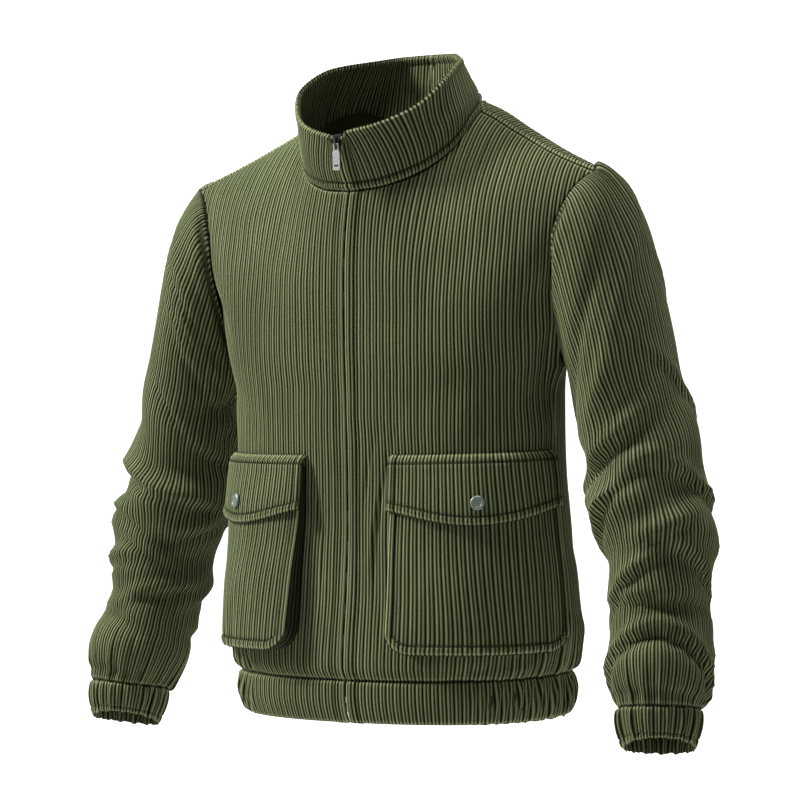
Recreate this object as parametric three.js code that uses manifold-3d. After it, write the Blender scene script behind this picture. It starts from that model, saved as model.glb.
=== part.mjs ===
// Corduroy bomber jacket in its worn shape, hollow, with no wearer. Millimetres, +Z up.
// It faces -Y, +X is the wearer's left, and the origin lies between the neck points of the shoulder seams.
import * as THREE from "three";
import Module from "manifold-3d";

const wall = 2.2;            // one layer of lined corduroy
const collarWall = 3.0;      // the collar is two layers
const seamGap = 0.3;         // left between pieces at every seam
const sewnGap = 0.45;        // left where a piece is sewn on at an angle
const sharpestMitre = -0.72;  // cosine between the outward faces of two walls at such a seam
const frontGap = 0.8;        // between the two front edges over the zip

// Sections of the body: half width, depth before and behind the side seams. The underarm is at the chest.
const bodyLevels = [
  { z: -592, half: 194, front: 119, back: 97 },
  { z: -578, half: 201, front: 124, back: 102 },
  { z: -550, half: 205, front: 121, back: 106 },
  { z: -500, half: 203, front: 113, back: 105 },
  { z: -440, half: 197, front: 106, back: 102 },
  { z: -360, half: 193, front: 102, back: 101 },
  { z: -300, half: 194, front: 101, back: 103 },
  { z: -272, half: 197, front: 101, back: 106 },
  { z: -210, half: 212, front: 100, back: 108 },
  { z: -150, half: 229, front: 99, back: 108 },
  { z: -100, half: 244, front: 97, back: 106 },
  { z: -40, half: 258, front: 90, back: 102 },
];
const hemZ = -592;
const chestZ = -272;
const sectionPower = 2.3;   // 2 is an ellipse, more is squarer
const sectionSteps = 90;

// Crest of the shoulders over each wale, by its distance from the centre line.
const crest = [
  { s: 0, x: 0, y: 60, z: 26, power: 3.0 },
  { s: 50, x: 50, y: 60, z: 21, power: 2.5 },
  { s: 106, x: 101, y: 55, z: 5, power: 2.0 },
  { s: 160, x: 153, y: 40, z: -22, power: 2.05 },
  { s: 215, x: 205, y: 23, z: -48, power: 2.2 },
  { s: 262, x: 251, y: 8, z: -67, power: 2.3 },
];
const crestLean = 3;         // how late the wales turn towards the crest
const shoulderSeam = 0.86;   // of the way from chest to crest, on the front
const seamHalf = 0.0011;     // half the gap of the shoulder seam, as a share of the same way

// Necklines: height of the front edge, and share of the way to the crest on the back.
const frontNeck = [
  { s: 0, z: -82 }, { s: 28, z: -80 }, { s: 52, z: -74 }, { s: 72, z: -65 },
  { s: 88, z: -53 }, { s: 98, z: -41 }, { s: 103.5, z: -28 }, { s: 106, z: -14 },
];
const backNeck = [
  { s: 0, rise: 0.68 }, { s: 30, rise: 0.70 }, { s: 54, rise: 0.76 }, { s: 70, rise: 0.86 },
  { s: 82, rise: 0.96 }, { s: 93, rise: 1.05 }, { s: 102, rise: 1.11 }, { s: 106, rise: 1.13 },
];
const neckHalf = 106;        // wale that meets the neck point
const tipHalf = 262;         // wale that meets the shoulder tip
const notchHalf = 226;       // innermost wale that the armhole cuts
const notchRise = { front: 0.40, back: 0.46 };
const armholeBend = { lower: 1.7, upper: 0.85 };   // powers of the two parts of its curve
const underarmFlare = 10;    // outward, over shares of the rise below and above the chest
const flareBelow = 0.11;
const flareAbove = 0.25;

// Sleeve: heights of its sections, centre and radii across and fore and aft.
const sleeveLevels = [
  { z: -60, x: 219, y: 16, across: 56, fore: 70 },
  { z: -150, x: 238, y: 18, across: 57, fore: 71 },
  { z: -260, x: 266, y: 15, across: 55, fore: 68 },
  { z: -340, x: 286, y: 10, across: 61, fore: 66 },
  { z: -400, x: 298, y: 6, across: 61, fore: 65 },
  { z: -450, x: 307, y: -1, across: 57, fore: 61 },
  { z: -500, x: 316, y: -10, across: 52, fore: 57 },
  { z: -560, x: 327, y: -30, across: 49, fore: 53 },
  { z: -616, x: 334, y: -51, across: 42, fore: 46 },
];
// Height over which the sleeve turns in to the armhole, how late, and how round.
const sleeveCap = { height: 105, late: 2.2, round: 0.5 };
// Main folds of the sleeve: centre height and angle (0 outside, 90 front), slope, sizes and depth.
const sleeveFolds = [
  { z: -330, angle: 30, slope: -0.5, width: 20, reach: 75, depth: -6 },
  { z: -372, angle: 150, slope: 0.3, width: 17, reach: 80, depth: -9 },
  { z: -398, angle: 120, slope: 0.4, width: 20, reach: 110, depth: 8 },
  { z: -428, angle: 60, slope: -0.45, width: 17, reach: 80, depth: -7 },
  { z: -452, angle: 10, slope: 0.2, width: 20, reach: 90, depth: 6 },
  { z: -470, angle: 160, slope: 0.1, width: 15, reach: 70, depth: -6 },
  { z: -496, angle: 70, slope: 0.35, width: 17, reach: 100, depth: 5 },
  { z: -525, angle: 20, slope: -0.3, width: 16, reach: 90, depth: -5 },
  { z: -585, angle: 90, slope: 0.05, width: 22, reach: 190, depth: 7 },
];

const collarRim = [
  { turn: -90, x: 0, y: -102, z: -27 },
  { turn: -67, x: 38, y: -93, z: -15 },
  { turn: -40, x: 76, y: -62, z: 6 },
  { turn: -18, x: 91, y: -30, z: 33 },
  { turn: 8, x: 82, y: 14, z: 54 },
  { turn: 38, x: 55, y: 56, z: 62 },
  { turn: 66, x: 34, y: 84, z: 66 },
  { turn: 90, x: 0, y: 94, z: 67 },
];
const collarBulge = { mid: 3.5, above: 0.8 };   // outward at half height, and less towards the rim
const zipNotch = { top: 5.5, from: 0.42 };   // the collar edges part round the slider

// Pockets lie on the fronts: places are wales (s) and heights, lifts are measured off the panel.
const pocket = {
  inner: 55, outer: 236, top: -370, bottom: -564, corner: 26,
  liftTop: 7, liftBottom: 21, liftSide: 5, wall: 2, bellows: 2.5,
  belly: 5, bellySkew: 0.65, bellyFrom: 50, bellyTo: 84, bellyEnd: 0.6,
};
const flap = {
  inner: 53, outer: 238, top: -357, bend: -368, edge: -416, tip: -432, point: 1.3,
  wall: 2.4, away: 1.4, awayOver: 20,
};
const snap = { radius: 7.5, height: 2.4, s: 148, z: -408.5, sides: 24, clear: 0.3 };
// Outline of a snap's cap, as shares of its radius and height.
const snapProfile = [
  { r: 0, h: 0 }, { r: 1, h: 0 }, { r: 1, h: 0.7 }, { r: 0.86, h: 1 },
  { r: 0.62, h: 1 }, { r: 0.56, h: 0.85 }, { r: 0, h: 0.85 },
];
const cuff = { height: 42, narrow: 4, belly: 2.5, gathers: 14, depth: 1.6 };
// The hem band is flat beside the zip and gathered from one wale on.
const hem = { height: 46, belly: 3, tuck: 5, gathers: 20, depth: 2.2, flatTo: 128, blend: 20, flatSteps: 6 };

const zip = {
  clear: 0.35, tapeFrom: 3.2, tapeTo: 16, tapeWall: 0.9, chainHalf: 2.3, chainWall: 2.4, sliderRoom: 10,
};
// The slider sits in the notch of the collar and leans with it; its bridge holds the bar of the pull.
const slider = {
  z: -29.5, lean: 13.4, topHalf: 4.5, footHalf: 3.3, halfHeight: 6.5, wall: 3.2, round: 1,
  bridgeHalf: 0.9, bridgeWall: 1.2, bridgeInner: 3.4, room: 3,
};
// Measured down from its hinge, which lies in the middle of the bridge's room.
const pull = {
  bar: 1.1, armHalf: 3, windowHalf: 1.7, windowTo: 6.2, plateFrom: 7, plateTo: 27.5, plateHalf: 4.3,
  wall: 1.3, round: 1.6, slotHalf: 2.5, slotFrom: 21.4, slotTo: 23.8, rest: 0.5,
};

// Rows and columns of the meshes.
const lowRows = 10;
const armRows = 4;
const topRows = 7;
const neckColumns = 8;
const neckCrowd = 0.72;      // crowds them where the neckline is steep
const shoulderColumns = 6;
const notchColumns = 4;
const tipColumns = 5;
const sleeveRows = 21;
const sleeveCrowd = 1.12;    // crowds them towards the armhole
const collarRows = 6;

const paint = (name, color, roughness, metalness = 0) => (
  new THREE.MeshStandardMaterial({ name, color, roughness, metalness }));
const cloth = paint("corduroy", 0x4a5235, 0.95);
const tapeCloth = paint("tape", 0x23261c, 0.9);
const darkMetal = paint("dark metal", 0x3a3b3c, 0.4, 0.9);
const silver = paint("silver", 0xd8d8d6, 0.25, 1);
const snapPaint = paint("snap", 0x6c7a68, 0.45);

const wasm = await Module();
wasm.setup();
const { CrossSection, Manifold } = wasm;

const root = new THREE.Group();
root.name = "corduroy_jacket";

const v3 = (x, y, z) => new THREE.Vector3(x, y, z);
const clamp01 = (t) => Math.min(1, Math.max(0, t));
const smooth = (t) => { const c = clamp01(t); return c * c * (3 - 2 * c); };
const mix = (a, b, t) => a + (b - a) * t;
const range = (n) => Array.from({ length: n + 1 }, (_, i) => i / n);
const signedPower = (value, power) => Math.sign(value) * Math.abs(value) ** power;

// Smooth curve through a table's rows, without overshoot.
function along(table, key, column, at) {
  const rising = table[1][key] > table[0][key];
  const rows = rising ? table : [...table].reverse();
  const last = rows.length - 1;
  if (at <= rows[0][key]) return rows[0][column];
  if (at >= rows[last][key]) return rows[last][column];
  let i = 0;
  while (rows[i + 1][key] < at) i += 1;
  const slope = (a, b) => (rows[b][column] - rows[a][column]) / (rows[b][key] - rows[a][key]);
  const tangent = (k) => {
    if (k === 0) return slope(0, 1);
    if (k === last) return slope(last - 1, last);
    const before = slope(k - 1, k);
    const after = slope(k, k + 1);
    return before * after <= 0 ? 0 : (2 * before * after) / (before + after);
  };
  const span = rows[i + 1][key] - rows[i][key];
  const t = (at - rows[i][key]) / span;
  const t2 = t * t;
  const t3 = t2 * t;
  return rows[i][column] * (2 * t3 - 3 * t2 + 1) + rows[i + 1][column] * (3 * t2 - 2 * t3)
    + span * (tangent(i) * (t3 - 2 * t2 + t) + tangent(i + 1) * (t3 - t2));
}

// Quarter of a body section from the centre line (0) to the side seam (1), by share of its length.
const sectionCache = new Map();
function sectionAt(z, depthKey) {
  const id = `${depthKey}${z.toFixed(3)}`;
  if (sectionCache.has(id)) return sectionCache.get(id);
  const half = along(bodyLevels, "z", "half", z);
  const depth = along(bodyLevels, "z", depthKey, z);
  const points = range(sectionSteps).map((t) => {
    const angle = t * Math.PI / 2;
    const power = 2 / sectionPower;
    return { x: half * Math.sin(angle) ** power, y: depth * Math.cos(angle) ** power };
  });
  let length = 0;
  points.forEach((p, i) => {
    if (i) length += Math.hypot(p.x - points[i - 1].x, p.y - points[i - 1].y);
    p.s = length;
  });
  const found = { points, length };
  sectionCache.set(id, found);
  return found;
}
const sideLength = { front: sectionAt(chestZ, "front").length, back: sectionAt(chestZ, "back").length };

// Below the chest the wales share out the section's length, and above it they keep their distance.
function sectionPoint(face, z, s) {
  const { points, length } = sectionAt(z, face);
  const target = Math.min(z <= chestZ ? (s / sideLength[face]) * length : s, length);
  let i = 1;
  while (i < points.length - 1 && points[i].s < target) i += 1;
  const t = (target - points[i - 1].s) / (points[i].s - points[i - 1].s);
  return { x: mix(points[i - 1].x, points[i].x, t), depth: mix(points[i - 1].y, points[i].y, t) };
}

// A point of the body by wale (s) and rise: -1 hem seam, 0 chest, 1 crest of the shoulder.
function bodyPoint(face, s, rise) {
  const sign = face === "front" ? -1 : 1;
  const atSide = smooth((s - notchHalf) / (sideLength[face] - notchHalf));
  if (rise <= 0) {
    const z = mix(chestZ, hemZ, -rise);
    const p = sectionPoint(face, z, s);
    return v3(p.x + underarmFlare * atSide * clamp01(1 + rise / flareBelow) ** 2, sign * p.depth, z);
  }
  const turn = rise * Math.PI / 2;
  const power = 2 / along(crest, "s", "power", s);
  const lift = Math.sin(turn) ** power;
  const reach = signedPower(Math.cos(turn), power);
  const z = mix(chestZ, along(crest, "s", "z", s), lift);
  const near = sectionPoint(face, z, s);
  const far = sectionPoint(face === "front" ? "back" : "front", z, s);
  const flare = underarmFlare * atSide * (1 - smooth(rise / flareAbove));
  const x = mix(near.x, along(crest, "s", "x", s), lift ** crestLean) + flare;
  const foot = reach >= 0 ? sign * near.depth : -sign * far.depth;
  return v3(x, mix(along(crest, "s", "y", s), foot, Math.abs(reach)), z);
}

function riseOfHeight(s, z) {
  const lift = (z - chestZ) / (along(crest, "s", "z", s) - chestZ);
  return Math.asin(clamp01(lift) ** (along(crest, "s", "power", s) / 2)) / (Math.PI / 2);
}

// Upper end of each wale: neckline, then shoulder seam.
function topRise(face, s) {
  const seam = face === "front" ? shoulderSeam : 2 - shoulderSeam;
  if (s >= neckHalf) return seam - seamHalf;
  if (face === "back") return Math.min(along(backNeck, "s", "rise", s), seam - seamHalf);
  return Math.min(riseOfHeight(s, along(frontNeck, "s", "z", s)), seam - seamHalf);
}

// Lower part of the armhole, below its innermost wale, and the upper part above it.
function armholeLower(face, s) {
  const t = (s - notchHalf) / (sideLength[face] - notchHalf);
  return notchRise[face] * (1 - clamp01(t)) ** armholeBend.lower;
}
function armholeUpper(face, s) {
  const seam = topRise(face, tipHalf);
  const t = (s - notchHalf) / (tipHalf - notchHalf);
  return mix(notchRise[face], seam, clamp01(t) ** armholeBend.upper);
}

// The rows of a panel change here from below the armhole's notch to above it.
const splitShare = 0.78;
const splitRise = (face, s) => Math.min(notchRise[face], splitShare * topRise(face, s));

// Triangles and named edges of a mesh under construction; equal points are shared.
class Patch {
  constructor() { this.points = []; this.faces = []; this.index = new Map(); }
  add(p) {
    const id = `${Math.round(p.x * 200)},${Math.round(p.y * 200)},${Math.round(p.z * 200)}`;
    if (!this.index.has(id)) { this.index.set(id, this.points.length); this.points.push(p.clone()); }
    return this.index.get(id);
  }
  triangle(a, b, c) {
    if (a !== b && b !== c && a !== c) this.faces.push([a, b, c]);
  }
  quad(a, b, c, d) {
    const p = this.points;
    const other = p[a].distanceTo(p[c]) > p[b].distanceTo(p[d]);
    this.triangle(a, b, other ? d : c);
    this.triangle(other ? b : a, c, d);
  }
  grid(rows, columns, point, flip = false) {
    const ids = rows.map((r) => columns.map((c) => this.add(point(c, r))));
    for (let i = 0; i + 1 < rows.length; i += 1) {
      for (let j = 0; j + 1 < columns.length; j += 1) {
        const q = [ids[i][j], ids[i][j + 1], ids[i + 1][j + 1], ids[i + 1][j]];
        if (flip) q.reverse();
        this.quad(...q);
      }
    }
    return ids;
  }
  normals() {
    const out = this.points.map(() => v3(0, 0, 0));
    for (const [a, b, c] of this.faces) {
      const ab = this.points[b].clone().sub(this.points[a]);
      const n = ab.cross(this.points[c].clone().sub(this.points[a]));
      [a, b, c].forEach((i) => out[i].add(n));
    }
    return out.map((n) => n.normalize());
  }
}

function addMesh(name, positions, faces, material) {
  const geometry = new THREE.BufferGeometry();
  const flat = positions.flatMap((p) => [p.x, p.y, p.z]);
  geometry.setAttribute("position", new THREE.Float32BufferAttribute(flat, 3));
  geometry.setIndex(faces.flat());
  geometry.computeVertexNormals();
  const mesh = new THREE.Mesh(geometry, material);
  mesh.name = name;
  root.add(mesh);
  return mesh;
}

// Closed wall from a patch's outer points and an inner point for each; free edges get a rim.
function addWall(name, patch, inner, material) {
  const count = patch.points.length;
  const faces = [];
  const seen = new Set();
  for (const [a, b, c] of patch.faces) {
    faces.push([a, b, c], [c + count, b + count, a + count]);
    [[a, b], [b, c], [c, a]].forEach(([p, q]) => seen.add(`${p},${q}`));
  }
  for (const edge of seen) {
    const [a, b] = edge.split(",").map(Number);
    if (!seen.has(`${b},${a}`)) faces.push([b, a, a + count], [b, a + count, b + count]);
  }
  return addMesh(name, [...patch.points, ...inner], faces, material);
}

const mirrorX = (p) => v3(-p.x, p.y, p.z);
const sideOf = (word) => (word === "left" ? 1 : -1);

function panelHalf(patch, face, first, side) {
  const place = (s, rise) => (side > 0 ? bodyPoint(face, s, rise) : mirrorX(bodyPoint(face, s, rise)));
  const flip = (face === "back") === (side > 0);
  const neckPart = range(neckColumns).map((t) => mix(first, neckHalf, t ** neckCrowd));
  const shoulderPart = range(shoulderColumns).slice(1).map((t) => mix(neckHalf, notchHalf, t));
  const mainColumns = [...neckPart, ...shoulderPart];
  const last = sideLength[face] - seamGap / 2;
  const sideColumns = range(notchColumns).map((t) => mix(notchHalf, last, t));
  const tipPart = range(tipColumns).map((t) => mix(notchHalf, tipHalf, t));
  const below = range(lowRows).map((t) => mix(-1, 0, t));
  const beside = (s, t) => place(s, splitRise(face, s) * t);
  const above = (s, t) => place(s, mix(splitRise(face, s), topRise(face, s), t));
  const ids = {};
  ids.main = patch.grid(below, mainColumns, place, flip);
  ids.arm = patch.grid(range(armRows), mainColumns, beside, flip);
  ids.top = patch.grid(range(topRows), mainColumns, above, flip);
  patch.grid(below, sideColumns, place, flip);
  ids.under = patch.grid(range(armRows), sideColumns, (s, t) => place(s, armholeLower(face, s) * t), flip);
  ids.tip = patch.grid(range(topRows), tipPart,
    (s, t) => place(s, mix(armholeUpper(face, s), topRise(face, s), t)), flip);
  const under = ids.under[ids.under.length - 1];
  return {
    neck: ids.top[ids.top.length - 1].slice(0, neckPart.length),
    armhole: [...[...under].reverse(), ...ids.tip[0].slice(1)],
    zip: [...ids.main, ...ids.arm.slice(1), ...ids.top.slice(1)].map((row) => row.slice(0, 2)),
  };
}

const panels = {};
for (const word of ["right", "left"]) {
  const patch = new Patch();
  const edges = { [word]: panelHalf(patch, "front", frontGap / 2, sideOf(word)) };
  panels[`front_${word}`] = { patch, edges };
}
{
  const patch = new Patch();
  const edges = {};
  for (const word of ["right", "left"]) edges[word] = panelHalf(patch, "back", 0, sideOf(word));
  panels.back = { patch, edges };
}
for (const panel of Object.values(panels)) panel.normals = panel.patch.normals();
// Side and shoulder seams: the two walls share the direction of their thickness.
for (const word of ["right", "left"]) {
  const front = panels[`front_${word}`];
  front.patch.points.forEach((p, i) => {
    panels.back.patch.points.forEach((q, j) => {
      if (p.distanceTo(q) > 2 * seamGap) return;
      const shared = front.normals[i].clone().add(panels.back.normals[j]).normalize();
      front.normals[i] = shared;
      panels.back.normals[j] = shared;
    });
  });
}
for (const panel of Object.values(panels)) {
  panel.inner = panel.patch.points.map((p, i) => p.clone().addScaledVector(panel.normals[i], -wall));
}

// Points of a seam that runs over several panels, in order, with the panel that owns each.
function seamPoints(parts) {
  const list = [];
  for (const { panel, ids } of parts) {
    for (const id of ids) {
      list.push({ panel, id, point: panel.patch.points[id], normal: panel.normals[id] });
    }
  }
  return list;
}

// Joins neighbours that lie across a seam from each other into one point of the piece that is sewn on.
function joinAcross(list, closed) {
  const out = [];
  list.forEach((item) => {
    const before = out[out.length - 1];
    if (before && before.twins[0].point.distanceTo(item.point) < 2 * seamGap) before.twins.push(item);
    else out.push({ twins: [item] });
  });
  const [first] = out;
  const tail = out[out.length - 1];
  if (closed && tail.twins[0].point.distanceTo(first.twins[0].point) < 2 * seamGap) {
    first.twins.push(...tail.twins);
    out.pop();
  }
  out.forEach((item) => {
    const total = (key) => item.twins.reduce((sum, twin) => sum.add(twin[key]), v3(0, 0, 0));
    item.point = total("point").multiplyScalar(1 / item.twins.length);
    item.normal = total("normal").normalize();
  });
  return out;
}

// Sews a piece to the body along its row of points: both walls end on one mitre, a seam's gap apart.
function sewOn(seam, closed, patch, row, inner, leave) {
  const n = seam.length;
  const normals = patch.normals();
  seam.forEach((item, k) => {
    const next = seam[closed ? (k + 1) % n : Math.min(k + 1, n - 1)].point;
    const back = seam[closed ? (k + n - 1) % n : Math.max(k - 1, 0)].point;
    const tangent = next.clone().sub(back).normalize();
    const level = (v) => v.clone().addScaledVector(tangent, -v.dot(tangent)).normalize();
    const bodyNormal = level(item.normal);
    const otherNormal = level(normals[row[k]]);
    const cosine = Math.max(bodyNormal.dot(otherNormal), sharpestMitre);
    const inward = bodyNormal.add(otherNormal).multiplyScalar(-wall / (1 + cosine));
    const across = tangent.clone().cross(inward).normalize();
    if (across.dot(leave(k).sub(item.point)) < 0) across.negate();
    item.twins.forEach(({ panel, id }) => { panel.inner[id] = panel.patch.points[id].clone().add(inward); });
    patch.points[row[k]] = item.point.clone().addScaledVector(across, sewnGap);
    inner[row[k]] = patch.points[row[k]].clone().add(inward);
  });
}

// Inner points of the front edge and of the next wale, from hem to collar, for the zip behind them.
const zipRows = { left: [], right: [] };

// Collar.
function rimPoint(turn) {
  const row = (column) => along(collarRim, "turn", column, turn);
  return v3(row("x"), row("y"), row("z"));
}
{
  const { front_left: fl, front_right: fr, back } = panels;
  const chain = seamPoints([
    { panel: fl, ids: fl.edges.left.neck },
    { panel: back, ids: [...back.edges.left.neck].reverse() },
    { panel: back, ids: back.edges.right.neck.slice(1) },
    { panel: fr, ids: [...fr.edges.right.neck].reverse() },
  ]);
  const seam = joinAcross(chain, false);
  const lengths = [0];
  seam.slice(1).forEach((item, k) => lengths.push(lengths[k] + item.point.distanceTo(seam[k].point)));
  const total = lengths[lengths.length - 1];
  const top = (k) => {
    const share = lengths[k] / total;
    const turn = share <= 0.5 ? mix(-90, 90, share * 2) : mix(90, -90, share * 2 - 1);
    const p = rimPoint(turn);
    return share <= 0.5 ? p : mirrorX(p);
  };
  const outward = (k) => v3(seam[k].point.x, seam[k].point.y - 5, 0).normalize();
  const patch = new Patch();
  const columns = seam.map((_, k) => k);
  const place = (k, t) => {
    const p = seam[k].point.clone().lerp(top(k), t);
    const bulge = collarBulge.mid * Math.sin(Math.PI * t) * (t < 0.5 ? 1 : collarBulge.above);
    p.addScaledVector(outward(k), bulge);
    const atFront = k === 0 || k === columns.length - 1;
    if (atFront) {
      const part = zipNotch.top * smooth((t - zipNotch.from) / (1 - zipNotch.from));
      p.x = (k === 0 ? 1 : -1) * (frontGap / 2 + part);
    }
    return p;
  };
  const ids = patch.grid(range(collarRows), columns, place, false);
  const normals = patch.normals();
  const inner = patch.points.map((p, i) => p.clone().addScaledVector(normals[i], -collarWall));
  sewOn(seam, false, patch, ids[0], inner, top);
  patch.points.forEach((p, i) => {
    if (p.y < 0 && Math.abs(p.x) < zipNotch.top + frontGap) inner[i].x = p.x;
  });
  addWall("collar", patch, inner, cloth);
  const last = columns.length - 1;
  zipRows.left.push(...ids.map((row) => [inner[row[0]], inner[row[1]]]));
  zipRows.right.push(...ids.map((row) => [inner[row[last]], inner[row[last - 1]]]));
}

// Sleeves, by angle round them (0 outside, 90 in front) and height.
const cuffTop = sleeveLevels[sleeveLevels.length - 1].z;
const mmPerDegree = 1.05;
const foldsEnd = 12;         // the folds fade out over this much above the cuff
function sleeveFrame(z) {
  const step = 4;
  const level = (key, h) => along(sleeveLevels, "z", key, h);
  const centre = (h) => v3(level("x", h), level("y", h), h);
  const down = centre(z - step).sub(centre(z + step)).normalize();
  const front = v3(0, -1, 0).addScaledVector(down, down.y).normalize();
  const out = front.clone().cross(down).normalize();
  return { centre: centre(z), down, front, out };
}
function foldDepth(angle, z) {
  return sleeveFolds.reduce((sum, fold) => {
    const round = ((angle - fold.angle + 540) % 360 - 180) * mmPerDegree;
    const off = (z - fold.z - fold.slope * round) / fold.width;
    return sum + fold.depth * Math.exp(-off * off) * Math.exp(-((round / fold.reach) ** 2));
  }, 0);
}
function tubePoint(angle, z) {
  const { centre, front, out } = sleeveFrame(z);
  const a = angle * Math.PI / 180;
  const bump = foldDepth(angle, z) * smooth((z - cuffTop) / foldsEnd);
  const across = along(sleeveLevels, "z", "across", z) + bump;
  const fore = along(sleeveLevels, "z", "fore", z) + bump;
  return centre.addScaledVector(out, across * Math.cos(a)).addScaledVector(front, fore * Math.sin(a));
}

for (const word of ["right", "left"]) {
  const front = panels[`front_${word}`];
  const { back } = panels;
  const flipSide = sideOf(word) < 0;
  const chain = seamPoints([
    { panel: front, ids: front.edges[word].armhole },
    { panel: back, ids: [...back.edges[word].armhole].reverse() },
  ]);
  const seam = joinAcross(chain, true);
  const atLeft = (p) => (flipSide ? mirrorX(p) : p.clone());
  const n = seam.length;
  const half = front.edges[word].armhole.length - 1;
  const lengths = [0];
  for (let k = 1; k <= n; k += 1) {
    lengths.push(lengths[k - 1] + seam[k % n].point.distanceTo(seam[k - 1].point));
  }
  // Angle round the sleeve: 180 at the underarm, through the front to 0 at the shoulder tip, on to -180.
  const angles = seam.map((_, k) => (k <= half
    ? mix(180, 0, lengths[k] / lengths[half])
    : mix(0, -180, (lengths[k] - lengths[half]) / (lengths[n] - lengths[half]))));
  const ends = seam.map((item) => atLeft(item.point));
  const capPoint = (k, t) => {
    const topZ = ends[k].z;
    const z = mix(cuffTop, topZ, t);
    const p = tubePoint(angles[k], z);
    const share = clamp01(1 - (topZ - z) / sleeveCap.height);
    const drawn = 1 - (1 - share ** sleeveCap.late) ** sleeveCap.round;
    return p.addScaledVector(ends[k].clone().sub(tubePoint(angles[k], topZ)), drawn);
  };
  const rowShares = range(sleeveRows).map((t) => 1 - (1 - t) ** sleeveCrowd);
  const finish = (p) => (flipSide ? mirrorX(p) : p);
  const patch = new Patch();
  const columns = [...seam.map((_, k) => k), 0];
  const place = (k, t) => (t >= 1 ? seam[k].point : finish(capPoint(k, t)));
  const ids = patch.grid(rowShares, columns, place, flipSide);
  const normals = patch.normals();
  const inner = patch.points.map((p, i) => p.clone().addScaledVector(normals[i], -wall));
  const nextRow = rowShares[sleeveRows - 1];
  sewOn(seam, true, patch, ids[ids.length - 1], inner, (k) => finish(capPoint(k, nextRow)));
  const cuffFrame = sleeveFrame(cuffTop);
  ids[0].forEach((id, j) => {
    const level = tubePoint(angles[columns[j]], cuffTop).sub(cuffFrame.centre);
    inner[id] = finish(cuffFrame.centre.clone().addScaledVector(level, 1 - wall / level.length()));
  });
  addWall(`sleeve_${word}`, patch, inner, cloth);

  const cuffPatch = new Patch();
  const steps = cuff.gathers * 4;
  const cuffRows = [0, 0.5, 1];
  const ring = (j, t, inset) => {
    const a = (j / steps) * 2 * Math.PI;
    const shape = Math.sin(Math.PI * t);
    const uneven = 0.75 + 0.25 * Math.sin(3 * a);
    const wave = cuff.depth * shape ** 0.6 * Math.cos(a * cuff.gathers) * uneven;
    const outward = wave - inset - cuff.narrow * smooth(t) + cuff.belly * shape;
    const across = along(sleeveLevels, "z", "across", cuffTop) + outward;
    const fore = along(sleeveLevels, "z", "fore", cuffTop) + outward;
    return finish(cuffFrame.centre.clone()
      .addScaledVector(cuffFrame.down, seamGap + cuff.height * t)
      .addScaledVector(cuffFrame.out, across * Math.cos(a))
      .addScaledVector(cuffFrame.front, fore * Math.sin(a)));
  };
  const cuffColumns = Array.from({ length: steps + 1 }, (_, j) => j % steps);
  const cuffIds = cuffPatch.grid(cuffRows, cuffColumns, (j, t) => ring(j, t, 0), flipSide);
  const cuffInner = [];
  cuffIds.forEach((line, i) => line.forEach((id, j) => {
    cuffInner[id] = ring(cuffColumns[j], cuffRows[i], wall);
  }));
  addWall(`cuff_${word}`, cuffPatch, cuffInner, cloth);
}

// Body panels, with a level inner edge at the hem seam.
for (const [name, panel] of Object.entries(panels)) {
  const { points } = panel.patch;
  points.forEach((p, i) => {
    if (Math.abs(p.z - hemZ) < 0.01) {
      const flat = v3(panel.normals[i].x, panel.normals[i].y, 0).normalize();
      panel.inner[i] = p.clone().addScaledVector(flat, -wall);
    }
  });
  if (name !== "back") {
    points.forEach((p, i) => { if (Math.abs(p.x) < frontGap) panel.inner[i].x = p.x; });
  }
  addWall(name, panel.patch, panel.inner, cloth);
}

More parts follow.
